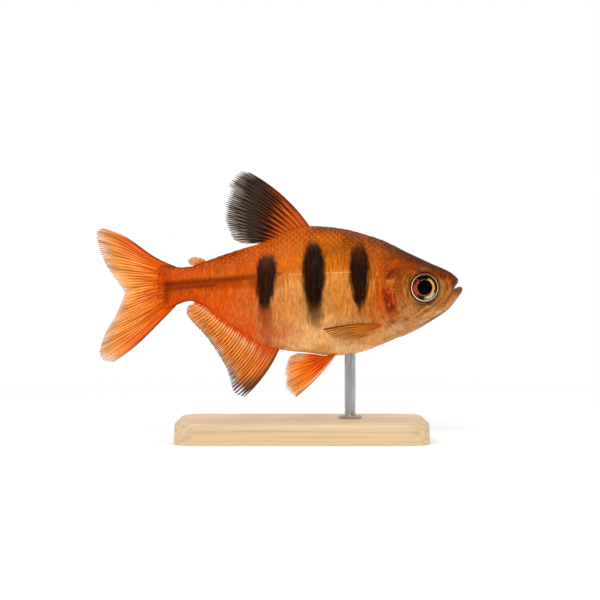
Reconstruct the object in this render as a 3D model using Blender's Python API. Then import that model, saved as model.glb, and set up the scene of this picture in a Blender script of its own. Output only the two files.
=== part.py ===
"""A small barred tetra, life size, held over a flat display base by one short rod.

The fish faces +X and +Z is up. The middle of the base's underside is near the origin, and the snout
and the tail tips lie 25 mm either side of it. Sizes are in millimetres and are scaled as meshes are made.
"""

import math

import bmesh
import bpy
from mathutils import Vector

MM = 0.001
GAP = 0.3  # clearance that touching pieces keep
BEYOND = 40.0  # a distance that lies outside the fish, for cutting shapes that run past it
FLANK_REACH = 8.0  # the same, out to either side

# The body from the snout to the end of the tail stalk. Each station gives its place along the fish, the
# heights of back, belly and widest level, the half width, and how full the upper and lower halves are.
BODY_STATIONS = (
    (25.00, 20.85, 20.75, 20.80, 0.05, 2.2, 2.2),
    (24.88, 21.35, 20.25, 20.80, 0.52, 2.2, 2.2),
    (24.55, 21.85, 19.75, 20.75, 0.85, 2.2, 2.2),
    (24.10, 22.35, 19.15, 20.70, 1.12, 2.3, 2.1),
    (23.30, 23.00, 18.15, 20.60, 1.45, 2.4, 2.0),
    (22.20, 23.55, 17.25, 20.55, 1.80, 2.5, 2.0),
    (20.80, 24.20, 16.35, 20.50, 2.15, 2.6, 1.9),
    (18.90, 25.10, 15.20, 20.50, 2.52, 2.6, 1.9),
    (16.80, 26.10, 14.20, 20.50, 2.85, 2.4, 1.9),
    (14.40, 27.30, 13.20, 20.50, 3.10, 2.2, 2.0),
    (11.80, 28.20, 12.20, 20.50, 3.22, 2.0, 2.1),
    (9.20, 28.90, 11.60, 20.50, 3.22, 1.9, 2.1),
    (6.40, 29.30, 11.55, 20.50, 3.12, 1.9, 2.0),
    (3.60, 29.35, 11.92, 20.60, 2.95, 1.9, 1.9),
    (0.80, 28.60, 12.20, 20.70, 2.68, 1.9, 1.8),
    (-2.00, 27.25, 12.85, 20.80, 2.32, 1.9, 1.7),
    (-4.80, 26.40, 14.35, 21.00, 1.95, 1.9, 1.7),
    (-7.60, 25.50, 16.20, 21.20, 1.60, 1.9, 1.7),
    (-10.20, 24.55, 18.20, 21.30, 1.30, 1.9, 1.8),
    (-12.20, 23.85, 18.95, 21.30, 1.08, 2.0, 2.0),
    (-14.00, 23.75, 18.60, 21.20, 0.85, 2.0, 2.0),
    (-15.60, 24.10, 17.85, 21.10, 0.60, 2.0, 2.0),
    (-16.80, 24.30, 17.40, 21.00, 0.45, 2.0, 2.0),
)
RING_POINTS = 40
NOSE_RINGS_PER_STATION = 3
BODY_RINGS_PER_STATION = 2
NOSE_STATIONS = 10  # stations with the finer spacing

# Lines drawn on the flank, as (forward, height)
GILL_SLIT = (
    (15.6, 28.4), (14.7, 26.2), (13.9, 24.0), (13.45, 21.6),
    (13.4, 19.2), (13.9, 17.2), (15.0, 15.4), (16.6, 13.4),
)
GILL_PLATE = (
    (12.9, 21.2), (13.1, 23.2), (14.3, 23.95), (15.5, 23.6), (16.05, 21.8),
    (16.3, 19.6), (16.45, 17.6), (15.7, 16.2), (14.2, 16.2), (12.9, 18.2),
)
PLATE_THICK = 0.6
PLATE_PROUD = 0.12
GAPE_TOP = ((26.0, 22.05), (24.5, 21.62), (23.95, 20.72), (23.2, 19.95), (22.62, 19.35))
GAPE_BOTTOM = ((26.0, 21.05), (24.85, 20.98), (23.9, 20.38), (23.1, 19.62), (22.45, 18.98))
JAW_HINGE = ((21.55, 17.4), (21.0, 15.6))
UPPER_LIP = ((22.45, 19.45), (23.05, 20.1), (23.75, 20.85), (24.15, 21.35), (24.36, 21.75))
LOWER_LIP = ((22.55, 18.78), (23.22, 19.44), (24.02, 20.18), (24.5, 20.5), (24.84, 20.74))
LIP_RADIUS = 0.19
LIP_CORNER = 0.07  # its radius at the corners of the mouth
NOSTRILS = ((22.45, 22.3, 0.2), (21.95, 22.5, 0.27))  # forward, height, radius
STALK_TOP = (-9.5, 27.0)
STALK_BOTTOM = (-12.25, 17.0)
STALK_END = -16.2
STALK_END_BOW = 1.0  # how far its middle stands in front of its corners

EYE_CENTRE = (19.8, 20.85)
EYE_RADIUS = 1.95
EYE_DEPTH = 1.1  # half thickness
EYE_SIDE = 1.75  # distance of its centre from the middle plane

# Fins. A membrane is this thick out to where it starts to thin towards the tips of its rays.
MEMBRANE = 0.5
RAY = 0.74
TIP = 0.2
THIN_FROM = 0.55
FORK = (-21.15, 20.1)  # the middle of the tail fin's rear edge
PELVIC_SIDE, PELVIC_SPLAY = 0.8, 1.5  # from the middle plane at the root, and further out at the tips
PECTORAL_LIFT = 0.7  # how far its tips stand off the flank

# The display base and its rod
BASE_LENGTH, BASE_WIDTH, BASE_HEIGHT = 34.0, 19.0, 3.0
BASE_MIDDLE = 3.0
BASE_CORNER, BASE_EDGE = 3.0, 0.5
ROD_X, ROD_RADIUS = 9.6, 0.75


def clear_scene():
    for obj in list(bpy.data.objects):
        bpy.data.objects.remove(obj)


def material(name, colour, roughness, metallic=0.0):
    made = bpy.data.materials.new(name)
    made.use_nodes = True
    shader = made.node_tree.nodes["Principled BSDF"]
    shader.inputs["Base Color"].default_value = (*colour, 1.0)
    shader.inputs["Roughness"].default_value = roughness
    shader.inputs["Metallic"].default_value = metallic
    return made


def smooth_between(rows, t):
    """The row at t along a smooth curve through every row, where t counts rows from 0."""
    last = len(rows) - 1
    t = min(max(t, 0.0), float(last))
    k = min(int(t), last - 1)
    u = t - k
    before, a, b, after = rows[max(k - 1, 0)], rows[k], rows[k + 1], rows[min(k + 2, last)]
    return tuple(
        0.5 * (2 * q + (r - p) * u + (2 * p - 5 * q + 4 * r - s) * u * u + (3 * q - p - 3 * r + s) * u ** 3)
        for p, q, r, s in zip(before, a, b, after)
    )


def drawn(points, steps):
    """Points along a smooth curve through points, with steps to each stretch."""
    count = (len(points) - 1) * steps
    return [smooth_between(points, k / steps) for k in range(count + 1)]


def along(points, s):
    """The point at the share s of the curve through points, measured by length."""
    line = drawn(points, 8)
    lengths = [0.0]
    for a, b in zip(line, line[1:]):
        lengths.append(lengths[-1] + math.dist(a, b))
    want = s * lengths[-1]
    for k in range(len(line) - 1):
        if lengths[k + 1] >= want - 1e-9:
            part = (want - lengths[k]) / max(lengths[k + 1] - lengths[k], 1e-9)
            return tuple(p + (q - p) * part for p, q in zip(line[k], line[k + 1]))
    return line[-1]


def body_at(x):
    """Back, belly, widest level, half width and the two fullnesses at x."""
    low, high = 0.0, len(BODY_STATIONS) - 1.0
    for _ in range(40):
        middle = (low + high) / 2
        if smooth_between(BODY_STATIONS, middle)[0] > x:
            low = middle
        else:
            high = middle
    return smooth_between(BODY_STATIONS, low)[1:]


def flank(x, z):
    """Half width of the body at a place seen from the side."""
    back, belly, level, half, upper, lower = body_at(x)
    reach, full = (back - level, upper) if z > level else (level - belly, lower)
    share = min(abs(z - level) / max(reach, 1e-6), 1.0)
    return half * (1 - share ** full) ** (1 / full)


def ring_point(station, angle, grow):
    x, back, belly, level, half, upper, lower = station
    side, rise = math.cos(angle), math.sin(angle)
    reach, full = (back - level, upper) if rise > 0 else (level - belly, lower)
    y = (half + grow) * math.copysign(abs(side) ** (2 / full), side)
    z = level + (reach + grow) * math.copysign(abs(rise) ** (2 / full), rise)
    return Vector((x, y, z)) * MM


def add_object(name, bm):
    """Makes an object of a closed mesh, with its faces turned outwards."""
    bmesh.ops.recalc_face_normals(bm, faces=bm.faces)
    if bm.calc_volume(signed=True) < 0:
        bmesh.ops.reverse_faces(bm, faces=bm.faces)
    mesh = bpy.data.meshes.new(name)
    bm.to_mesh(mesh)
    bm.free()
    made = bpy.data.objects.new(name, mesh)
    bpy.context.scene.collection.objects.link(made)
    return made


def bridge_rings(bm, rings):
    """Faces between each ring of vertices and the next, and over both ends."""
    for one, two in zip(rings, rings[1:]):
        for k in range(len(one)):
            n = (k + 1) % len(one)
            bm.faces.new((one[k], one[n], two[n], two[k]))
    bm.faces.new(rings[0])
    bm.faces.new(rings[-1])


def body_solid(name, grow=0.0):
    """The whole body as one closed loft, thicker by grow all round."""
    places = [k / NOSE_RINGS_PER_STATION for k in range(NOSE_STATIONS * NOSE_RINGS_PER_STATION)]
    rest = len(BODY_STATIONS) - 1 - NOSE_STATIONS
    places += [NOSE_STATIONS + k / BODY_RINGS_PER_STATION for k in range(rest * BODY_RINGS_PER_STATION + 1)]
    bm = bmesh.new()
    rings = []
    for t in places:
        station = smooth_between(BODY_STATIONS, t)
        angles = [2 * math.pi * (k + 0.5) / RING_POINTS for k in range(RING_POINTS)]
        rings.append([bm.verts.new(ring_point(station, a, grow)) for a in angles])
    bridge_rings(bm, rings)
    return add_object(name, bm)


def prism(name, outline, near=-FLANK_REACH, far=FLANK_REACH):
    """An outline drawn on the flank, pushed through the fish from y = near to y = far."""
    bm = bmesh.new()
    rings = [[bm.verts.new(Vector((x, y, z)) * MM) for x, z in outline] for y in (near, far)]
    bridge_rings(bm, rings)
    return add_object(name, bm)


def ball(name, centre, radii, segments=24, rings=14):
    bm = bmesh.new()
    bmesh.ops.create_uvsphere(bm, u_segments=segments, v_segments=rings, radius=1.0)
    for vertex in bm.verts:
        vertex.co = Vector((vertex.co.x, vertex.co.z, vertex.co.y))
        vertex.co = Vector([(c + v * r) * MM for c, v, r in zip(centre, vertex.co, radii)])
    return add_object(name, bm)


def tube(name, path, radii, sides=8):
    """A closed bead along path, with its radius given at each point."""
    bm = bmesh.new()
    rings = []
    for k, (point, radius) in enumerate(zip(path, radii)):
        ahead = Vector(path[min(k + 1, len(path) - 1)]) - Vector(path[max(k - 1, 0)])
        ahead.normalize()
        across = ahead.cross(Vector((0, 0, 1))).normalized()
        up = across.cross(ahead)
        ring = []
        for n in range(sides):
            turn = 2 * math.pi * n / sides
            spot = Vector(point) + (across * math.cos(turn) + up * math.sin(turn)) * radius
            ring.append(bm.verts.new(spot * MM))
        rings.append(ring)
    bridge_rings(bm, rings)
    return add_object(name, bm)


def boolean(obj, others, operation):
    """Joins others to obj, cuts them from it or keeps what they share, and removes the others."""
    group = bpy.data.collections.new("tools")
    for other in others:
        group.objects.link(other)
    step = obj.modifiers.new(operation.lower(), "BOOLEAN")
    step.operation = operation
    step.operand_type = "COLLECTION"
    step.collection = group
    step.solver = "EXACT"
    apply_modifiers(obj)
    for other in others:
        group.objects.unlink(other)
        bpy.data.objects.remove(other)
    bpy.data.collections.remove(group)


def apply_modifiers(obj):
    bpy.context.view_layer.update()
    graph = bpy.context.evaluated_depsgraph_get()
    made = bpy.data.meshes.new_from_object(obj.evaluated_get(graph), depsgraph=graph)
    obj.modifiers.clear()
    obj.data = made


def keep_largest(obj):
    """Leaves only the largest closed surface of the mesh."""
    bm = bmesh.new()
    bm.from_mesh(obj.data)
    left, shells = set(bm.faces), []
    while left:
        shell, edge = set(), [left.pop()]
        while edge:
            face = edge.pop()
            shell.add(face)
            for side in face.edges:
                for other in side.link_faces:
                    if other in left:
                        left.remove(other)
                        edge.append(other)
        shells.append(shell)
    shells.sort(key=lambda shell: sum(face.calc_area() for face in shell))
    spare = [face for shell in shells[:-1] for face in shell]
    bmesh.ops.delete(bm, geom=spare, context="FACES")
    bm.to_mesh(obj.data)
    bm.free()


def finish(obj, colour):
    keep_largest(obj)
    obj.data.materials.clear()
    obj.data.materials.append(colour)
    obj.data.shade_smooth()
    obj.data.set_sharp_from_angle(angle=math.radians(40))


def shifted(points, by):
    return [(x + by, z) for x, z in points]


def copy_of(obj, name):
    made = obj.copy()
    made.data = obj.data.copy()
    made.name = name
    bpy.context.scene.collection.objects.link(made)
    return made


def stalk_end_line(forward=0.0):
    """The bowed end of the tail stalk, from top to bottom, moved by forward."""
    top, bottom = body_at(STALK_END)[:2]
    middle, reach = (top + bottom) / 2, (top - bottom) / 2 + 0.8
    line = []
    for k in range(9):
        share = 1 - k / 4
        line.append((STALK_END + STALK_END_BOW * share * share + forward, middle + reach * share))
    return line


def head_region():
    """The outline of all that lies in front of the gill slit."""
    slit = drawn(GILL_SLIT, 3)
    return shifted(slit, GAP / 2) + [(BEYOND, slit[-1][1]), (BEYOND, slit[0][1])]


def make_body(skin):
    """Head, lower jaw, gill covers, trunk and tail stalk, parted from one loft."""
    head = body_solid("head")
    boolean(head, [prism("head_region", head_region())], "INTERSECT")

    trunk = body_solid("trunk")
    slit = drawn(GILL_SLIT, 3)
    low, high = STALK_BOTTOM[0] + GAP / 2, STALK_TOP[0] + GAP / 2
    behind = shifted(slit, -GAP / 2) + [(low, 0.0), (low, STALK_BOTTOM[1])]
    behind += [(high, STALK_TOP[1]), (high, BEYOND), (slit[0][0] - GAP / 2, BEYOND)]
    boolean(trunk, [prism("trunk_region", behind)], "INTERSECT")
    finish(trunk, skin)

    stalk = body_solid("tail_stalk")
    outline = [(STALK_TOP[0] - GAP / 2, STALK_TOP[1]), (STALK_BOTTOM[0] - GAP / 2, STALK_BOTTOM[1])]
    outline += list(reversed(stalk_end_line()))
    boolean(stalk, [prism("stalk_region", outline)], "INTERSECT")
    finish(stalk, skin)

    make_gill_covers(head, skin)
    make_jaws(head, skin)
    cut_face(head)
    finish(head, skin)
    for side, sign in (("right", -1), ("left", 1)):
        make_eye(side, sign)


def grown(outline, by):
    """The outline moved outwards by by, away from its middle."""
    middle = Vector([sum(p[k] for p in outline) / len(outline) for k in (0, 1)])
    moved = []
    for point in outline:
        away = Vector(point) - middle
        moved.append(tuple(middle + away * (1 + by / away.length)))
    return moved


def make_gill_covers(head, skin):
    """A thin plate let into each cheek, with its rear edge free over the gill slit."""
    outline = drawn(GILL_PLATE + GILL_PLATE[:1], 2)[:-1]
    for side, near, far in (("right", -FLANK_REACH, -GAP), ("left", GAP, FLANK_REACH)):
        plate = body_solid("gill_cover_" + side, PLATE_PROUD)
        boolean(plate, [prism("plate_region", outline, near, far)], "INTERSECT")
        boolean(plate, [prism("head_region", head_region())], "INTERSECT")
        boolean(plate, [body_solid("core", -PLATE_THICK)], "DIFFERENCE")
        finish(plate, skin)
        seat = prism("seat", grown(outline, GAP), near, far)
        boolean(seat, [body_solid("core", -PLATE_THICK - GAP)], "DIFFERENCE")
        boolean(head, [seat], "DIFFERENCE")


def lip_path(line):
    """A bead's path from the left corner of the mouth round the snout to the right corner."""
    half = [(x, flank(x, z), z) for x, z in drawn(line, 3)]
    half[-1] = (half[-1][0], 0.0, half[-1][2])
    return half + [(x, -y, z) for x, y, z in reversed(half[:-1])]


def lip(name, line):
    path = lip_path(line)
    middle = len(path) // 2
    shares = [(abs(k - middle) / middle) ** 2 for k in range(len(path))]
    radii = [LIP_RADIUS + (LIP_CORNER - LIP_RADIUS) * share for share in shares]
    return tube(name, path, radii)


def make_jaws(head, skin):
    """Opens the mouth, parts the lower jaw from the head and gives both jaws their lips."""
    jaw = copy_of(head, "lower_jaw")
    jaw_region = list(GAPE_BOTTOM) + [(x + GAP / 2, z) for x, z in JAW_HINGE] + [(26.0, 14.0)]
    boolean(jaw, [prism("jaw_region", jaw_region)], "INTERSECT")
    mouth = list(GAPE_TOP) + [(x - GAP / 2, z) for x, z in JAW_HINGE]
    mouth += [(JAW_HINGE[-1][0] - GAP / 2, 14.0), (26.0, 14.0)]
    boolean(head, [prism("mouth", mouth)], "DIFFERENCE")
    boolean(jaw, [lip("lower_lip", LOWER_LIP)], "UNION")
    boolean(head, [lip("upper_lip", UPPER_LIP)], "UNION")
    finish(jaw, skin)


def cut_face(head):
    """Sockets for the eyes and the two nostrils of each side."""
    x, z = EYE_CENTRE
    tools = []
    for sign in (-1, 1):
        radii = (EYE_RADIUS + GAP, EYE_DEPTH + GAP, EYE_RADIUS + GAP)
        tools.append(ball("socket", (x, sign * EYE_SIDE, z), radii, 22, 10))
        for nx, nz, radius in NOSTRILS:
            tools.append(ball("nostril", (nx, sign * (flank(nx, nz) + 0.05), nz), (radius,) * 3, 8, 6))
    boolean(head, tools, "DIFFERENCE")


def make_eye(side, sign):
    x, z = EYE_CENTRE
    eye = ball("eye_" + side, (x, sign * EYE_SIDE, z), (EYE_RADIUS, EYE_DEPTH, EYE_RADIUS), 22, 10)
    finish(eye, material("eye_" + side, (0.02, 0.015, 0.012), 0.12))


def thickness(u, ridge):
    """Half thickness of a fin at the share u of a ray's length. ridge is 1 on a ray and 0 between rays."""
    full = (MEMBRANE + (RAY - MEMBRANE) * ridge) / 2
    if u < THIN_FROM:
        return full
    share = (u - THIN_FROM) / (1 - THIN_FROM)
    return full + (TIP / 2 - full) * share


def fin(name, colour, root, tip, rays, rows, bow, forked, notch=0.05, sheet=None, seat=None):
    """A fin of rays from the root line to the tip line.

    bow gives how far the first and the last ray arch to the right of their way out, seen from the fish's
    right, forked rays split towards their tips, sheet(x, z, u) gives the sideways place of a bent fin, and
    seat(x, y) the height of its root where the body slopes under it.
    """
    columns = []
    for k in range(rays):
        if forked:
            columns += [(k, -1, 1.0), (k, 0, 0.8), (k, 1, 1.0)]
        else:
            columns += [(k, 0, 1.0)]
        if k < rays - 1:
            columns.append((k, 2, 0.0))
    bm = bmesh.new()
    faces = {1: [], -1: []}
    for ray, part, ridge in columns[1:-1] if forked else columns:
        lines = {1: [], -1: []}
        for row in range(rows + 1):
            u = row / rows
            spread = 0.1 + 0.14 * u
            s = (ray + (0.5 if part == 2 else part * spread)) / (rays - 1)
            s = min(max(s, 0.0), 1.0)
            start, end = Vector(along(root, s)), Vector(along(tip, s))
            across = Vector((end.y - start.y, start.x - end.x)).normalized()
            arch = bow[0] + (bow[1] - bow[0]) * s
            reach = 1 - (notch if part == 2 else 0.35 * notch if part == 0 and forked else 0.0)
            v = u * reach
            bend = (start + end) / 2 + across * arch * 2
            spot = start * (1 - v) ** 2 + bend * 2 * v * (1 - v) + end * v * v
            fade = ridge if part else ridge * (1 - 0.6 * u if forked else 1)
            half = thickness(u, fade)
            y = sheet(spot.x, spot.y, u) if sheet else 0.0
            for face in (1, -1):
                z = seat(spot.x, y + face * half) if seat and row == 0 else spot.y
                lines[face].append(bm.verts.new(Vector((spot.x, y + face * half, z)) * MM))
        for face in (1, -1):
            faces[face].append(lines[face])
    count = len(faces[1])
    for face in (1, -1):
        for c in range(count - 1):
            for r in range(rows):
                a, b = faces[face][c][r], faces[face][c + 1][r]
                d, e = faces[face][c][r + 1], faces[face][c + 1][r + 1]
                bm.faces.new((a, b, e) if face == 1 else (a, e, b))
                bm.faces.new((a, e, d) if face == 1 else (a, d, e))
    rim = [(c, 0) for c in range(count)] + [(count - 1, r) for r in range(1, rows + 1)]
    rim += [(c, rows) for c in range(count - 2, -1, -1)] + [(0, r) for r in range(rows - 1, 0, -1)]
    for (c, r), (n, m) in zip(rim, rim[1:] + rim[:1]):
        a, b = faces[1][c][r], faces[1][n][m]
        d, e = faces[-1][c][r], faces[-1][n][m]
        bm.faces.new((a, b, e))
        bm.faces.new((a, e, d))
    finish(add_object(name, bm), colour)


def back_line(first, last, lift):
    return [(x, body_at(x)[0] + lift) for x in (first + (last - first) * k / 6 for k in range(7))]


def belly_line(first, last, drop):
    return [(x, body_at(x)[1] - drop) for x in (first + (last - first) * k / 6 for k in range(7))]


def underside(x, y):
    """Height of the belly's surface at a distance y from the middle plane."""
    _, belly, level, half, _, lower = body_at(x)
    share = min(abs(y) / half, 1.0)
    return level - (level - belly) * (1 - share ** lower) ** (1 / lower)


def make_dorsal(colour):
    root = back_line(3.95, -2.25, GAP)
    tip = (
        (-4.4, 36.8), (-5.4, 36.65), (-6.35, 35.95), (-7.0, 33.9), (-7.4, 31.6),
        (-7.35, 29.6), (-6.7, 27.9), (-5.6, 27.0), (-4.3, 26.85),
    )
    fin("dorsal_fin", colour, root, tip, 11, 7, (0.75, 0.1), True, 0.06)


def make_anal(colour):
    root = belly_line(-0.25, -11.45, GAP)
    tip = (
        (-5.0, 5.95), (-6.35, 6.95), (-7.0, 9.2), (-7.9, 11.0), (-9.2, 13.1),
        (-10.5, 14.7), (-11.8, 16.1), (-12.7, 17.4), (-12.5, 18.3),
    )
    fin("anal_fin", colour, root, tip, 28, 5, (-0.3, -0.15), False, 0.06)


def make_caudal(colour):
    """Two lobes that part at the fork, each from its own half of the stalk's end."""
    root = [(x - GAP, z) for x, z in stalk_end_line()]
    root[0] = (-15.15, body_at(-15.15)[0] + 0.7 * GAP)
    root[-1] = (-15.0, body_at(-15.0)[1] - GAP)
    middle = len(root) // 2
    x, z = root[middle]
    upper = root[:middle] + [(x, z + GAP / 2)]
    lower = [(x, z - GAP / 2)] + root[middle + 1:]
    fork_x, fork_z = FORK
    upper_tip = ((-24.0, 28.95), (-25.0, 28.4), (-24.8, 26.8), (-23.95, 24.2), (-22.7, 22.2))
    upper_tip += ((fork_x, fork_z + GAP / 2),)
    lower_tip = ((fork_x, fork_z - GAP / 2), (-22.45, 17.1))
    lower_tip += ((-23.8, 14.7), (-24.65, 12.2), (-24.1, 10.9), (-22.8, 10.7))
    fin("caudal_fin_upper", colour, upper, upper_tip, 10, 6, (0.12, 0.0), True, 0.05)
    fin("caudal_fin_lower", colour, lower, lower_tip, 9, 6, (0.0, -0.4), True, 0.05)


def make_adipose(colour):
    """A small fleshy lobe with no rays."""
    root = back_line(-11.85, -10.2, GAP)
    crest = ((-10.2, 24.85), (-10.9, 25.1), (-11.6, 25.22), (-12.25, 25.15), (-12.62, 24.8), (-12.5, 24.42))
    lobe = prism("adipose_fin", root + drawn(crest, 2)[1:], -MEMBRANE / 2, MEMBRANE / 2)
    finish(lobe, colour)


def make_paired(colour):
    """Pelvic fins under the belly and pectoral fins laid back along the flank."""
    for side, sign in (("right", -1), ("left", 1)):

        def hang(x, z, u, sign=sign):
            return sign * (PELVIC_SIDE + PELVIC_SPLAY * u * u)

        def belly_seat(x, y):
            return underside(x, y) - GAP

        root = [(x, underside(x, PELVIC_SIDE) - GAP) for x in (7.4, 6.65, 5.9)]
        tip = (
            (2.0, 6.0), (1.35, 6.55), (0.95, 7.5), (0.95, 8.8),
            (1.1, 10.1), (1.6, 11.0), (2.8, 11.4),
        )
        name = "pelvic_fin_" + side
        fin(name, colour, root, tip, 8, 5, (-0.2, 0.1), True, 0.06, hang, belly_seat)

        def lie(x, z, u, sign=sign):
            return sign * (flank(x, z) + 1.1 * GAP + RAY / 2 + PECTORAL_LIFT * u * u)

        root = ((13.9, 15.95), (13.65, 15.5), (13.25, 15.05))
        tip = ((6.2, 15.3), (6.4, 14.75), (7.3, 14.1), (8.8, 13.6), (10.4, 13.55), (11.6, 13.9))
        fin("pectoral_fin_" + side, colour, root, tip, 11, 6, (0.3, -0.2), False, 0.05, lie)


def rounded_box(name):
    bm = bmesh.new()
    bmesh.ops.create_cube(bm, size=1.0)
    for vertex in bm.verts:
        x, y, z = vertex.co
        spot = (BASE_MIDDLE + x * BASE_LENGTH, y * BASE_WIDTH, (z + 0.5) * BASE_HEIGHT)
        vertex.co = Vector(spot) * MM
    upright = [e for e in bm.edges if abs(e.verts[0].co.z - e.verts[1].co.z) > 0.5 * BASE_HEIGHT * MM]
    bevel(bm, upright, BASE_CORNER, 5)
    top = [e for e in bm.edges if min(v.co.z for v in e.verts) > 0.99 * BASE_HEIGHT * MM]
    bevel(bm, top, BASE_EDGE, 2)
    return add_object(name, bm)


def bevel(bm, edges, width, segments):
    bmesh.ops.bevel(
        bm, geom=edges, offset=width * MM, segments=segments, profile=0.5, affect="EDGES", material=-1
    )


def make_stand():
    """A flat wooden base and one steel rod that reaches up to the belly."""
    base = rounded_box("stand_base")
    finish(base, material("pale_wood", (0.72, 0.62, 0.48), 0.55))
    low = BASE_HEIGHT + GAP
    high = min(body_at(ROD_X + d)[1] for d in (-ROD_RADIUS, 0, ROD_RADIUS)) - GAP
    bm = bmesh.new()
    place = Vector((ROD_X, 0, (low + high) / 2)) * MM
    radius, depth = ROD_RADIUS * MM, (high - low) * MM
    bmesh.ops.create_cone(bm, cap_ends=True, segments=20, radius1=radius, radius2=radius, depth=depth)
    bmesh.ops.translate(bm, verts=bm.verts, vec=place)
    rod = add_object("stand_rod", bm)
    finish(rod, material("steel", (0.62, 0.62, 0.63), 0.3, 1.0))


def main():
    clear_scene()
    skin = material("skin", (0.6, 0.24, 0.04), 0.35)
    orange = material("orange_fin", (0.8, 0.28, 0.05), 0.45)
    smoky = material("smoky_fin", (0.12, 0.05, 0.02), 0.45)
    make_body(skin)
    make_dorsal(smoky)
    make_anal(orange)
    make_caudal(orange)
    make_adipose(orange)
    make_paired(orange)
    make_stand()


main()
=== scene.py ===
"""Looks of the small barred tetra over its display base: skin, scales, eyes, fins, wood and steel."""

import math

import bmesh
import bpy
import numpy as np
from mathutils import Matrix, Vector


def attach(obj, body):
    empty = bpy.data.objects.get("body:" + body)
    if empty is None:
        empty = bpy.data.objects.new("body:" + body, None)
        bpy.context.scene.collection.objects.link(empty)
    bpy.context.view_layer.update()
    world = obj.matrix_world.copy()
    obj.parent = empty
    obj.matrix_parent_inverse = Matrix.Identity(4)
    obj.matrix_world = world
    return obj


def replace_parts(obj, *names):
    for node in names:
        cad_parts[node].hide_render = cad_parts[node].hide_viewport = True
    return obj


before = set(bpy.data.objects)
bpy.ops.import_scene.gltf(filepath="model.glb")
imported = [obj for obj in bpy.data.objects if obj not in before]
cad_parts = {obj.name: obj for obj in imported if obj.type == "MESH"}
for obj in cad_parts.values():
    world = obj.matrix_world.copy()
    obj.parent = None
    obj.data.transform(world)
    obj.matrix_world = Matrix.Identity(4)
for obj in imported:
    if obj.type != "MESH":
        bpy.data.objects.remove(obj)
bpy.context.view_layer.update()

# Camera. Level with the fish's right side and square to it, 228 mm off, with the lens of a portrait.
FIELD_WIDTH = 0.0822  # what the frame takes in at the fish's middle plane
FRAME_MIDDLE = (0.00274, 0.01918)  # forward and height of the frame's centre
camera_data = bpy.data.cameras.new("camera")
camera_data.lens = 100
camera_data.sensor_width = 36
camera_data.clip_start = 0.01
camera = bpy.data.objects.new("camera", camera_data)
camera.location = (FRAME_MIDDLE[0], -FIELD_WIDTH * camera_data.lens / camera_data.sensor_width, FRAME_MIDDLE[1])
camera.rotation_euler = (math.radians(90), 0, 0)
bpy.context.scene.collection.objects.link(camera)
bpy.context.scene.camera = camera
bpy.context.scene.view_settings.view_transform = "Standard"


# Studio. A white table that fades into the white ground about it, and three soft lamps before, beside and above
# the fish. The ground looks pure white, and as a light it is dim on the viewer's side, so that dark paint stays dark.
MM = 0.001
FISH_MIDDLE = Vector((0.0, 0.0, 0.02))


def shade(red, green, blue):
    """A colour given in the 0 to 255 steps of a paint chart, as the shader's linear light."""
    steps = (value / 255 for value in (red, green, blue))
    return (*(s / 12.92 if s <= 0.04045 else ((s + 0.055) / 1.055) ** 2.4 for s in steps), 1.0)


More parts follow.
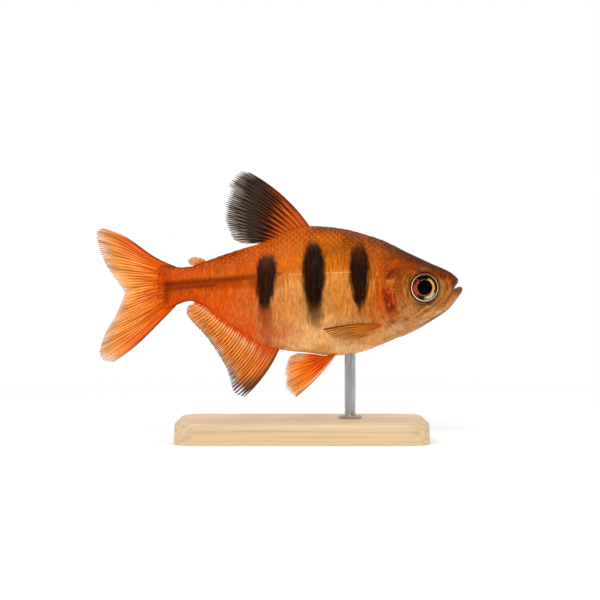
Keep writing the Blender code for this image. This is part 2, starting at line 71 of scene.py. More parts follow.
class Paint:
    """The finish of a new material, or of the world given as its owner, made up of shader nodes."""

    def __init__(self, name, owner=None, shader="Principled BSDF"):
        self.material = owner or bpy.data.materials.new(name)
        self.material.use_nodes = True
        self.tree = self.material.node_tree
        self.shader = self.tree.nodes[shader]

    def wire(self, made, inputs):
        """Sets a node's inputs, given as values or as other nodes' outputs."""
        for key, value in inputs.items():
            if isinstance(value, bpy.types.NodeSocket):
                self.tree.links.new(value, made.inputs[key])
            else:
                made.inputs[key].default_value = value

    def finish(self, inputs):
        self.wire(self.shader, inputs)

    def add(self, kind, inputs=None, **settings):
        made = self.tree.nodes.new("ShaderNode" + kind)
        for key, value in settings.items():
            setattr(made, key, value)
        self.wire(made, inputs or {})
        return made

    def value(self, kind, inputs=None, out=0, **settings):
        """One output of a new node."""
        return self.add(kind, inputs, **settings).outputs[out]

    def place(self):
        return self.value("TexCoord", out="Object")

    def attribute(self, name):
        return self.value("Attribute", out="Fac", attribute_name=name)

    def noise(self, place, scale, detail=2.0, roughness=0.5):
        return self.value("TexNoise", {"Vector": place, "Scale": scale, "Detail": detail, "Roughness": roughness})

    def mapped(self, place, scale=(1.0, 1.0, 1.0), turn=0.0, at=(0.0, 0.0), kind="POINT"):
        """Places scaled, turned about the axis across the fish and moved in its middle plane."""
        return self.value("Mapping", {"Vector": place, "Location": (at[0] * MM, 0.0, at[1] * MM),
                                      "Rotation": (0.0, turn, 0.0), "Scale": scale}, vector_type=kind)

    def parts(self, place):
        return tuple(self.add("SeparateXYZ", {0: place}).outputs)

    def vector(self, operation, *values):
        """Arithmetic on places, whose result is a number for some operations."""
        out = "Value" if operation in ("LENGTH", "DISTANCE", "DOT_PRODUCT") else "Vector"
        return self.value("VectorMath", dict(enumerate(values)), out, operation=operation)

    def maths(self, operation, *values):
        return self.value("Math", dict(enumerate(values)), operation=operation)

    def plus(self, first, second):
        return self.maths("ADD", first, second)

    def minus(self, first, second):
        return self.maths("SUBTRACT", first, second)

    def times(self, result, *others):
        for other in others:
            result = self.maths("MULTIPLY", result, other)
        return result

    def graded(self, value, low=0.0, high=1.0, to_low=0.0, to_high=1.0):
        """to_low where value is low, to_high where it is high, and even steps between."""
        return self.value("MapRange", {
            "Value": value, "From Min": low, "From Max": high, "To Min": to_low, "To Max": to_high})

    def swing(self, value, low, high):
        """0 where value is low and 1 where it is high, with an even swing between."""
        return self.value("MapRange", {"Value": value, "From Min": low, "From Max": high},
                          interpolation_type="SMOOTHSTEP")

    def ladder(self, value, *steps):
        """Colours that follow one another as value rises, each given with its place."""
        made = self.add("ValToRGB", {"Fac": value})
        stops = made.color_ramp.elements
        while len(stops) < len(steps):
            stops.new(0.5)
        for stop, (at, colour) in zip(stops, steps):
            stop.position = at
            stop.color = shade(*colour)
        return made.outputs["Color"]

    def over(self, under, share, colour):
        """A colour, or another output, laid over what is under it."""
        top = colour if isinstance(colour, bpy.types.NodeSocket) else shade(*colour)
        return self.value("Mix", {0: share, 6: under, 7: top}, 2, data_type="RGBA")


def soft_lamp(name, place, size, watts):
    """A square lamp turned towards the fish."""
    data = bpy.data.lights.new(name, "AREA")
    data.size = size
    data.energy = watts
    lamp = bpy.data.objects.new(name, data)
    lamp.location = place
    lamp.rotation_euler = (FISH_MIDDLE - Vector(place)).to_track_quat("-Z", "Y").to_euler()
    bpy.context.scene.collection.objects.link(lamp)


def show(name, bm, paint, smooth=True):
    """An object in the scene made of a finished mesh."""
    data = bpy.data.meshes.new(name)
    bm.to_mesh(data)
    bm.free()
    data.materials.append(paint.material)
    if smooth:
        data.shade_smooth()
    made = bpy.data.objects.new(name, data)
    bpy.context.scene.collection.objects.link(made)
    return made


table_paint = Paint("white_table")
table_grain = table_paint.value("TexNoise", {"Scale": 9.0, "Detail": 3.0})
table_reach = table_paint.vector("LENGTH", table_paint.place())
table_paint.finish({
    "Base Color": table_paint.graded(table_grain, to_low=0.975, to_high=0.99), "Roughness": 0.9,
    "Specular IOR Level": 0.1,
    "Alpha": table_paint.graded(table_reach, 0.16, 0.07),  # the table fades out from 70 to 160 mm off
})
table_mesh = bmesh.new()
bmesh.ops.create_circle(table_mesh, cap_ends=True, segments=96, radius=0.3)
table_top = show("table_top", table_mesh, table_paint, smooth=False)

world = bpy.data.worlds.new("white_sky")
sky = Paint("white_sky", world, "Background")
sky_across = sky.parts(sky.value("TexCoord", out="Generated"))[1]
sky_light = sky.graded(sky_across, -0.9, 0.3, 0.05, 0.68)
sky_seen = sky.value("LightPath", out="Is Camera Ray")
sky.finish({"Color": (1.0, 1.0, 1.0, 1.0), "Strength": sky.maths("MAXIMUM", sky_light, sky_seen)})
bpy.context.scene.world = world
soft_lamp("front_lamp", (-0.16, -0.42, 0.36), 0.34, 1.84)
soft_lamp("side_lamp", (0.34, -0.3, 0.2), 0.25, 0.35)
soft_lamp("top_lamp", (0.08, 0.05, 0.45), 0.25, 0.75)


# Skin. One closed skin over head, jaw, trunk and tail stalk. It is lofted along the body, lies under the scales
# behind the head, and carries the raised gill cover, the cheek, the nostrils, the eye sockets and the mouth.
COAT = 0.12  # depth of the scales over the skin
# Forward, back, belly and widest level, half width, and the fullness of the upper and lower half
STATIONS = (
    (25.00, 20.85, 20.75, 20.80, 0.05, 2.2, 2.2), (24.88, 21.35, 20.25, 20.80, 0.52, 2.2, 2.2),
    (24.55, 21.85, 19.75, 20.75, 0.85, 2.2, 2.2), (24.10, 22.35, 19.15, 20.70, 1.12, 2.3, 2.1),
    (23.30, 23.00, 18.15, 20.60, 1.45, 2.4, 2.0), (22.20, 23.55, 17.25, 20.55, 1.80, 2.5, 2.0),
    (20.80, 24.14, 16.35, 20.50, 2.15, 2.6, 1.9), (18.90, 25.02, 15.20, 20.50, 2.52, 2.6, 1.9),
    (16.80, 26.02, 14.20, 20.50, 2.85, 2.4, 1.9), (14.40, 27.30, 13.20, 20.50, 3.10, 2.2, 2.0),
    (11.80, 28.20, 12.20, 20.50, 3.22, 2.0, 2.1), (9.20, 28.90, 11.60, 20.50, 3.22, 1.9, 2.1),
    (6.40, 29.30, 11.55, 20.50, 3.12, 1.9, 2.0), (3.60, 29.35, 11.92, 20.60, 2.95, 1.9, 1.9),
    (0.80, 28.60, 12.20, 20.70, 2.68, 1.9, 1.8), (-2.00, 27.25, 12.85, 20.80, 2.32, 1.9, 1.7),
    (-4.80, 26.40, 14.35, 21.00, 1.95, 1.9, 1.7), (-7.60, 25.50, 16.20, 21.20, 1.60, 1.9, 1.7),
    (-10.20, 24.55, 18.20, 21.30, 1.30, 1.9, 1.8), (-12.20, 23.85, 18.95, 21.30, 1.08, 2.0, 2.0),
    (-14.00, 23.75, 18.50, 21.20, 0.85, 2.0, 2.0), (-15.30, 24.00, 17.85, 21.10, 0.62, 2.0, 2.0),
    (-16.20, 24.05, 17.85, 21.00, 0.36, 2.0, 2.0), (-16.90, 23.60, 18.35, 20.95, 0.14, 2.0, 2.0),
    (-17.40, 22.70, 19.20, 20.95, 0.20, 2.0, 2.0), (-17.60, 21.40, 20.50, 20.95, 0.08, 2.0, 2.0),
)


def curve_through(rows, count):
    """Rows read at count even steps along a smooth curve through all the given rows."""
    rows = np.array(rows, float)
    padded = np.vstack([rows[:1], rows, rows[-1:]])
    t = np.linspace(0, len(rows) - 1, count)
    k = np.minimum(t.astype(int), len(rows) - 2)
    u = (t - k)[:, None]
    p, q, r, s = (padded[k + n] for n in range(4))
    return 0.5 * (2 * q + (r - p) * u + (2 * p - 5 * q + 4 * r - s) * u ** 2 + (3 * q - p - 3 * r + s) * u ** 3)


body_rows = curve_through(STATIONS, 3000)[::-1]


def body_at(x):
    """Back, belly, level, half width and the two fullnesses at each x."""
    return [np.interp(x, body_rows[:, 0], body_rows[:, k]) for k in range(1, 7)]


# A chart of one side of the body: its half girth from belly to back at each of many places along it
CHART_X = np.linspace(STATIONS[-1][0], STATIONS[0][0], 600)
CHART_SHARES = np.linspace(0, 1, 161)
QUARTER_STEPS = 240  # steps over which each quarter of the girth is measured


def half_girth(x):
    """Even points from belly to back at x, with the girth's length and the level's share of it."""
    back, belly, level, half, upper, lower = body_at(x)
    turn = np.linspace(-math.pi / 2, math.pi / 2, 2 * QUARTER_STEPS + 1)
    full = np.where(turn > 0, upper, lower)
    reach = np.where(turn > 0, back - level, level - belly)
    y = half * np.abs(np.cos(turn)) ** (2 / full)
    z = level + reach * np.sign(turn) * np.abs(np.sin(turn)) ** (2 / full)
    lengths = np.concatenate([[0], np.cumsum(np.hypot(np.diff(y), np.diff(z)))])
    even = CHART_SHARES * lengths[-1]
    return (
        np.interp(even, lengths, y), np.interp(even, lengths, z), lengths[-1],
        lengths[QUARTER_STEPS] / lengths[-1])


chart_y, chart_z, chart_length, chart_level = (np.array(rows) for rows in zip(*(half_girth(x) for x in CHART_X)))
step_x, step_share = CHART_X[1] - CHART_X[0], CHART_SHARES[1]
y_along, y_round = np.gradient(chart_y, step_x, step_share)
z_along, z_round = np.gradient(chart_z, step_x, step_share)
chart_normal = np.stack([y_round * z_along - z_round * y_along, z_round, -y_round], -1)
chart_normal /= np.linalg.norm(chart_normal, axis=-1, keepdims=True)


def read_chart(chart, x, share):
    """A chart's value between its lines, at each x and share of the half girth."""
    i = np.clip((x - CHART_X[0]) / step_x, 0, len(CHART_X) - 1.001)
    k = np.clip(share / step_share, 0, len(CHART_SHARES) - 1.001)
    i0, k0 = i.astype(int), k.astype(int)
    a, b = i - i0, k - k0
    if chart.ndim == 3:
        a, b = a[..., None], b[..., None]
    low = chart[i0, k0] * (1 - b) + chart[i0, k0 + 1] * b
    high = chart[i0 + 1, k0] * (1 - b) + chart[i0 + 1, k0 + 1] * b
    return low * (1 - a) + high * a


def on_body(x, share, side, lift):
    """Points on one side of the body, raised by lift off its surface."""
    normal = read_chart(chart_normal, x, share)
    spots = np.stack([x, read_chart(chart_y, x, share), read_chart(chart_z, x, share)], -1)
    spots = spots + normal * np.asarray(lift)[..., None]
    spots[..., 1] *= side
    return spots


def ease(low, high, value):
    """0 below low, 1 above high, and an even swing between them."""
    t = np.clip((value - low) / (high - low), 0, 1)
    return t * t * (3 - 2 * t)


def ridge(off, width):
    """1 along a line, fading to both sides of it."""
    return np.exp(-(off / width) ** 2)


def off_line(points, x, z):
    """Distance of each place from a smooth line drawn on the flank."""
    line = curve_through(points, len(points) * 8)
    best = np.full(np.shape(x), 1e9)
    for (ax, az), (bx, bz) in zip(line, line[1:]):
        run, rise = bx - ax, bz - az
        t = np.clip(((x - ax) * run + (z - az) * rise) / (run * run + rise * rise), 0, 1)
        best = np.minimum(best, np.hypot(x - ax - t * run, z - az - t * rise))
    return best


GILL_EDGE = (
    (15.5, 24.6), (14.4, 24.3), (13.65, 23.2), (13.35, 21.4), (13.4, 19.2), (13.95, 17.2), (15.0, 15.6), (16.8, 13.9))
CHEEK_EDGE = ((15.55, 23.0), (15.95, 21.5), (16.2, 19.8), (16.35, 18.0), (17.0, 16.75), (18.6, 16.6), (20.6, 17.2))
CHEEK_PLATE = ((17.2, 19.8), (17.9, 18.6), (19.2, 18.1), (20.8, 18.5), (21.9, 19.6))
UPPER_JAW_PLATE = ((23.6, 20.9), (22.9, 19.9), (22.4, 18.9), (22.05, 18.1))
EYE_MIDDLE = (19.64, 20.86)
EYE_RADIUS = 1.99
NOSTRILS = ((22.45, 22.3, 0.16), (21.95, 22.5, 0.22))


def gill_edge_at(z):
    line = curve_through(GILL_EDGE, 80)[::-1]
    return np.interp(z, line[:, 1], line[:, 0])


def relief(x, z):
    """How far the skin stands off the plain body at each place, in millimetres."""
    past = gill_edge_at(z) - x  # how far behind the free edge of the gill cover
    lost = np.maximum(ease(24.0, 25.4, z), ease(15.2, 14.3, z))  # the edge is lost on the nape and the throat
    behind = ease(0.0, 0.16, past) * (1 - lost) + ease(-0.6, 0.9, past) * lost
    rise = -COAT * behind - 0.13 * ridge(past - 0.12, 0.1) * (1 - lost)  # a step down, and a groove
    rise = rise + 0.12 * ridge(x - 14.9, 1.2) * ridge(z - 19.9, 3.2) * (1 - behind)  # the swell of the cover
    cheek, plate, jaw = (off_line(line, x, z) for line in (CHEEK_EDGE, CHEEK_PLATE, UPPER_JAW_PLATE))
    from_eye = np.hypot(x - EYE_MIDDLE[0], z - EYE_MIDDLE[1]) - EYE_RADIUS
    for off, height, width in (
        (cheek, 0.07, 0.16), (cheek - 0.3, -0.05, 0.16), (plate, -0.05, 0.14), (jaw, 0.09, 0.26),
        (jaw - 0.45, -0.05, 0.12), (from_eye - 0.2, 0.07, 0.14), (from_eye - 0.62, -0.05, 0.2),
    ):
        rise = rise + height * ridge(off, width)
    for nx, nz, radius in NOSTRILS:
        reach = np.hypot(x - nx, z - nz) / radius
        rise = rise - 0.22 * ease(1.0, 0.55, reach) + 0.04 * ridge(reach - 1.3, 0.25)
    return rise


def loft(rings):
    """A closed mesh drawn out from ring to ring, with each end filled."""
    bm = bmesh.new()
    number = bm.verts.layers.int.new("number")
    for k, vertex in enumerate(bmesh.ops.create_circle(bm, segments=len(rings[0]), radius=1.0)["verts"]):
        vertex[number] = k
        vertex.co = rings[0][k]
    edges = list(bm.edges)
    ends = [list(edges)]
    for ring in rings[1:]:
        drawn = bmesh.ops.extrude_edge_only(bm, edges=edges)["geom"]
        fresh = {part for part in drawn if isinstance(part, bmesh.types.BMVert)}
        for vertex in fresh:
            vertex.co = ring[vertex[number]]
        edges = [part for part in drawn if isinstance(part, bmesh.types.BMEdge) and fresh.issuperset(part.verts)]
    ends.append(edges)
    for end in ends:
        bmesh.ops.contextual_create(bm, geom=end)
    bmesh.ops.recalc_face_normals(bm, faces=bm.faces)
    if bm.calc_volume(signed=True) < 0:
        bmesh.ops.reverse_faces(bm, faces=bm.faces)
    return bm


def apply_modifiers(obj):
    bpy.context.view_layer.update()
    graph = bpy.context.evaluated_depsgraph_get()
    data = bpy.data.meshes.new_from_object(obj.evaluated_get(graph), depsgraph=graph)
    obj.modifiers.clear()
    obj.data = data


HALF_POINTS = 96  # points of a ring on one side
HEAD_START, HEAD_STEP, BODY_STEP = 13.0, 0.1, 0.3
SOCKET_FLOOR = 1.3  # half of what is left between the two eye sockets
ring_places = [*np.arange(STATIONS[-1][0] + 0.02, HEAD_START, BODY_STEP), *np.arange(HEAD_START, 24.2, HEAD_STEP)]
ring_places += [24.3, 24.4, 24.5, 24.6, 24.7, 24.78, 24.86, 24.92, 24.96, 24.99]
shares = np.linspace(0, 1, HALF_POINTS + 1)
skin_rings = []
for place in ring_places:
    x = np.full_like(shares, place)
    left = on_body(x, shares, 1, relief(x, read_chart(chart_z, x, shares)))
    from_eye = np.hypot(left[:, 0] - EYE_MIDDLE[0], left[:, 2] - EYE_MIDDLE[1])
    socket = ease(EYE_RADIUS + 0.06, EYE_RADIUS - 0.08, from_eye)
    left[:, 1] = left[:, 1] * (1 - socket) + np.minimum(left[:, 1], SOCKET_FLOOR) * socket
    right = left[1:-1][::-1] * (1, -1, 1)
    skin_rings.append([Vector(point) * MM for point in np.vstack([left, right])])


def points_of(obj):
    spots = np.empty(len(obj.data.vertices) * 3)
    obj.data.vertices.foreach_get("co", spots)
    return spots.reshape(-1, 3)


def note(obj, name, values):
    """Stores a value at each point of an object, for its paint to read."""
    obj.data.attributes.new(name, "FLOAT", "POINT").data.foreach_set("value", values)


def give_girth(obj):
    """Stores each point's share of the way from belly to back, which the paint follows."""
    spots = points_of(obj) / MM
    i = np.clip((spots[:, 0] - CHART_X[0]) / step_x, 0, len(CHART_X) - 1).astype(int)
    off = (chart_y[i] - np.abs(spots[:, 1:2])) ** 2 + (chart_z[i] - spots[:, 2:3]) ** 2
    note(obj, "girth", CHART_SHARES[off.argmin(1)])


def spot(paint, place, middle, size, soft=0.45, lean=0.0):
    """A soft oval seen from the side: its middle and half sizes forward and up, and its lean in degrees."""
    moved = paint.mapped(place, (size[0] * MM, 1.0, size[1] * MM), math.radians(-lean), middle, "TEXTURE")
    return paint.swing(paint.vector("LENGTH", moved), 1 + soft, 1 - soft)


def band(paint, place, start, end, half_width, soft):
    """A soft straight band seen from the side, from start to end."""
    length = math.dist(start, end) / 2
    lean = math.atan2(end[1] - start[1], end[0] - start[0])
    middle = ((start[0] + end[0]) / 2, (start[1] + end[1]) / 2)
    along, _, across = paint.parts(
        paint.mapped(place, (length * MM, 1.0, half_width * MM), -lean, middle, "TEXTURE"))
    ends = paint.swing(paint.maths("ABSOLUTE", along), 1.0, 1 - min(0.9, 1.5 * half_width / length))
    return paint.times(ends, paint.swing(paint.maths("ABSOLUTE", across), 1 + soft, 1 - soft))


def bar(paint, place, middle, lean, half_width, bottom, top, outline):
    """An upright dark bar, leaning forward by lean, whose half width follows an outline from bottom to top."""
    forward, _, up = paint.parts(place)
    height = paint.graded(up, bottom * MM, top * MM)
    width = paint.add("FloatCurve", {"Value": height})
    curve = width.mapping.curves[0]
    for point, (at, share) in zip(curve.points, outline[:2]):
        point.location = (at, share)
    for at, share in outline[2:]:
        curve.points.new(at, share)
    width.mapping.update()
    spine = paint.plus(paint.times(height, lean * MM), middle * MM)
    off = paint.maths("ABSOLUTE", paint.minus(forward, spine))
    room = paint.minus(paint.times(width.outputs[0], (half_width + 0.25) * MM), off)
    ends = paint.times(paint.swing(height, 0.0, 0.28), paint.swing(height, 1.0, 0.8))
    bare = paint.minus(1.0, paint.times(paint.swing(room, 0.0, 0.85 * MM), ends))
    return paint.minus(1.0, paint.times(bare, bare))


def stirred(paint, place, scale, across, up, stretch=1.0):
    """Places shifted at random, so that what is painted on them has ragged edges."""
    cloud = paint.value("TexNoise", {
        "Vector": paint.mapped(place, (1.0, 1.0, 1.0 / stretch)), "Scale": scale, "Detail": 2.0}, "Color")
    shift = paint.vector("SUBTRACT", cloud, (0.5, 0.5, 0.5))
    return paint.vector("ADD", place, paint.vector("MULTIPLY", shift, (across * MM, 0.0, up * MM)))


# Paints from belly to back on the breast, the barrel, behind the last bar and on the head
BREAST = ((0.0, (228, 172, 112)), (0.25, (216, 146, 74)), (0.5, (206, 112, 28)), (0.8, (172, 86, 18)),
          (1.0, (70, 40, 26)))
BARREL = ((0.0, (246, 206, 148)), (0.22, (234, 176, 110)), (0.6, (230, 148, 62)), (0.67, (216, 114, 10)),
          (0.84, (160, 80, 10)), (1.0, (96, 44, 14)))
REAR = ((0.0, (206, 70, 6)), (0.07, (226, 82, 8)), (0.45, (216, 88, 14)), (0.65, (220, 94, 2)),
        (0.88, (204, 74, 0)), (1.0, (90, 32, 10)))
HEAD = ((0.0, (208, 152, 102)), (0.3, (190, 124, 62)), (0.5, (168, 88, 24)), (0.74, (128, 48, 4)),
        (0.88, (78, 38, 18)), (0.96, (50, 30, 22)))
# Middle, lean, half width, bottom, top, share of ink and outline of each bar, from the head back
BARS = (
    (10.78, 0.0, 1.42, 16.4, 27.5, 0.98, ((0, 0.1), (1, 0.4), (0.16, 0.46), (0.34, 0.82), (0.6, 1.0), (0.84, 0.84))),
    (4.63, -0.06, 1.7, 16.6, 27.7, 0.99, ((0, 0.5), (1, 0.3), (0.27, 0.75), (0.5, 0.98), (0.68, 0.95), (0.86, 0.71))),
    (-2.14, 0.5, 1.42, 16.9, 26.0, 0.975, ((0, 0.5), (1, 0.4), (0.16, 0.66), (0.4, 0.94), (0.7, 1.0), (0.88, 0.8))),
)
BAR_INK = (20, 9, 4)


def paint_body(paint):
    """The colour of skin and scales alike, with the bars, the stripe and the marks of the head."""
    swing, times, over = paint.swing, paint.times, paint.over
    flat = paint.place()
    streaky = stirred(paint, flat, 3200.0, 0.75, 1.0, stretch=4.0)
    cloudy = stirred(paint, flat, 1500.0, 0.55, 0.6)
    waver = stirred(paint, flat, 1600.0, 0.5, 0.3)
    forward = paint.parts(flat)[0]
    girth = paint.attribute("girth")

    def along(start, end):
        return swing(forward, start * MM, end * MM)

    def dab(under, place, share, tint, middle, size, lean=0.0, soft=0.5):
        return over(under, times(spot(paint, place, middle, size, soft, lean), share), tint)

    def stroke(under, place, share, tint, start, end, half_width, soft=0.7):
        return over(under, times(band(paint, place, start, end, half_width, soft), share), tint)

    def off_middle(place, middle):
        """How far forward of the middle and above it each place lies, and how far from it."""
        ahead, _, up = paint.parts(paint.vector("SUBTRACT", place, (middle[0] * MM, 0.0, middle[1] * MM)))
        return ahead, up, paint.maths("SQRT", paint.plus(times(ahead, ahead), times(up, up)))

    def crossed(first, second):
        return paint.value("CombineXYZ", {"X": first, "Y": second})

    colour = paint.ladder(girth, *BARREL)
    colour = over(colour, along(7.0, 12.0), paint.ladder(girth, *BREAST))
    colour = over(colour, along(-0.5, -4.0), paint.ladder(girth, *REAR))

    # Fine upright streaks, pale ones strongest below the lateral line, and a pepper of dark grains above it. The
    # streaks are partly the fish's own fine marks and partly painted light on its scales: painted sheen in the pale
    # ones and painted shade at the scales' edges in the dark ones.
    streak = paint.noise(paint.mapped(flat, (1.0, 0.3, 0.2), math.radians(5)), 2900.0)
    pale = swing(streak, 0.5, 0.34)
    pepper = paint.noise(flat, 5200.0)
    for share, tint in (
        (times(swing(streak, 0.5, 0.7), swing(girth, 0.0, 0.4), 0.5), (170, 66, 8)),
        (times(pale, 0.34), (238, 122, 14)),
        (times(swing(girth, 0.68, 0.56), along(-6.0, -0.5), pale, 0.5), (252, 192, 112)),
        (times(swing(girth, 0.6, 0.92), swing(pepper, 0.44, 0.62), 0.7), (96, 44, 12)),
    ):
        colour = over(colour, share, tint)

    # Warmer and darker stretches of the flank: dabs by middle and half sizes, strokes by two ends and half width
    for share, tint, *shape in (
        (0.7, (224, 112, 22), (1.4, 25.0), (2.0, 2.2)),
        (0.7, (208, 92, 8), (-6.0, 24.9), (5.2, 29.2), 1.7),
        (0.6, (206, 124, 40), (7.8, 19.6), (1.4, 2.8)),
        (0.75, (186, 84, 12), (12.9, 18.0), (0.9, 3.0)),
        (0.45, (182, 84, 16), (12.4, 25.4), (1.8, 1.6)),
        (0.6, (212, 92, 44), (-1.6, 14.4), (2.6, 1.2)),
        (0.5, (206, 102, 44), (-4.4, 19.4), (2.0, 1.6)),
        (0.5, (212, 116, 46), (1.2, 17.6), (1.9, 2.8)),
        (0.45, (212, 124, 70), (1.0, 14.6), (2.4, 1.6)),
        (0.7, (206, 100, 12), (4.0, 27.6), (9.0, 27.2), 0.85),
        (0.45, (130, 50, 18), (-3.8, 21.4), (0.8, 0.8)),
        (0.5, (92, 48, 20), (11.8, 27.9), (15.6, 26.2), 0.6),
        (0.45, (190, 112, 30), (8.6, 17.8), (1.6, 1.6)),
        (0.4, (186, 94, 24), (2.3, 22.8), (0.9, 0.9)),
        (0.4, (194, 94, 32), (-0.1, 15.3), (1.2, 1.4)),
        (0.6, (206, 124, 28), (5.9, 12.3), (1.4, 0.9)),
        (0.5, (244, 206, 158), (10.4, 12.5), (2.6, 0.6)),
        (0.8, (198, 86, 18), (-1.3, 12.5), (2.0, 0.9)),
        (0.45, (212, 106, 48), (-5.2, 17.0), (2.6, 1.6)),
        (0.5, (166, 78, 20), (-0.1, 22.2), (0.9, 1.5)),
        (0.4, (198, 100, 30), (-0.1, 18.4), (0.9, 1.8)),
        (0.5, (208, 78, 8), (-13.0, 22.6), (2.6, 1.2)),
        (0.6, (206, 68, 8), (-12.8, 19.4), (3.2, 0.9)),
    ):
        colour = (stroke if len(shape) == 3 else dab)(colour, cloudy, share, tint, *shape)

    # Stripe from the last bar to the tail: red-brown with a dark upper edge, ending in a dark band and the first
    # fan of the tail's rays
    colour = stroke(colour, waver, 0.7, (164, 52, 6), (-4.6, 21.75), (-16.2, 20.75), 0.74, 0.8)
    colour = stroke(colour, waver, 0.72, (110, 40, 6), (-2.9, 22.4), (-16.2, 21.25), 0.36, 0.9)
    colour = stroke(colour, waver, 0.6, (116, 36, 8), (-8.6, 21.25), (-16.0, 20.55), 0.2, 0.9)
    colour = dab(colour, cloudy, 0.6, (180, 50, 0), (-16.0, 21.0), (0.9, 3.6), soft=0.9)
    colour = dab(colour, cloudy, 0.45, (98, 30, 4), (-15.5, 20.3), (0.6, 1.5), -10, soft=0.9)
    colour = dab(colour, cloudy, 0.4, (84, 26, 4), (-15.3, 21.2), (0.6, 0.5), soft=0.9)
    colour = over(colour, along(-16.1, -16.9), (222, 86, 8))
    ahead, up, _ = off_middle(flat, (-12.4, 20.95))
    fan = paint.noise(crossed(times(paint.maths("DIVIDE", up, ahead), 13.0), times(ahead, 200.0)), 1.0, 1.0)
    end = along(-15.6, -16.5)
    colour = over(colour, times(end, swing(fan, 0.5, 0.6), 0.45), (252, 140, 54))
    colour = over(colour, times(end, swing(fan, 0.48, 0.38), 0.4), (176, 56, 0))
    colour = dab(colour, cloudy, 0.4, (188, 48, 0), (-16.5, 21.6), (0.5, 2.8), -6, soft=0.9)

    # Painted shade along the upper and lower edge of the tail stalk, where its surface turns away from the light
    rim = paint.plus(swing(girth, 0.12, 0.02), swing(girth, 0.9, 0.98))
    colour = over(colour, times(rim, along(-8.0, -12.5), along(-15.6, -14.6), 0.85), (92, 28, 4))

    # The three bars, soft and ragged over brown halos, the last one fading to red-brown below
    for share, tint, middle, size, soft in (
        (0.75, (142, 46, 12), (-2.0, 17.3), (1.15, 1.7), 0.5),
        (0.6, (160, 88, 26), (4.7, 19.3), (2.1, 2.6), 0.6),
        (0.65, (158, 84, 20), (11.3, 18.4), (1.3, 1.7), 0.6),
        (0.6, (166, 58, 18), (-1.7, 15.2), (0.9, 2.0), 0.5),
        (0.85, (104, 72, 42), (4.8, 17.4), (0.95, 1.8), 0.7),
    ):
        colour = dab(colour, streaky, share, tint, middle, size, soft=soft)
    inked = 0.0
    for *shape, share, outline in BARS:
        ink = times(bar(paint, streaky, *shape, outline), share)
        colour = over(colour, ink, BAR_INK)
        inked = paint.plus(inked, ink)
    # A faint share of the pale streaks, with their painted sheen, shows over the bars
    colour = over(colour, times(inked, pale, 0.035), (190, 110, 40))
    colour = dab(colour, streaky, 0.08, (180, 90, 20), (10.75, 25.6), (0.75, 1.3), soft=0.8)
    colour = dab(colour, streaky, 0.08, (190, 90, 30), (-1.8, 24.6), (0.8, 1.3), soft=0.8)

    # Lateral line: a row of pale pores, with a dark grain over the vent
    pores = swing(paint.noise(flat, 1500.0, 1.0), 0.38, 0.54)
    line = times(band(paint, flat, (-0.6, 22.55), (12.9, 23.1), 0.055, 0.6), pores, swing(inked, 1.05, 0.1))
    colour = over(colour, times(line, 0.6), (248, 190, 124))
    colour = dab(colour, flat, 0.6, (110, 52, 14), (-0.1, 22.75), (0.3, 0.25))

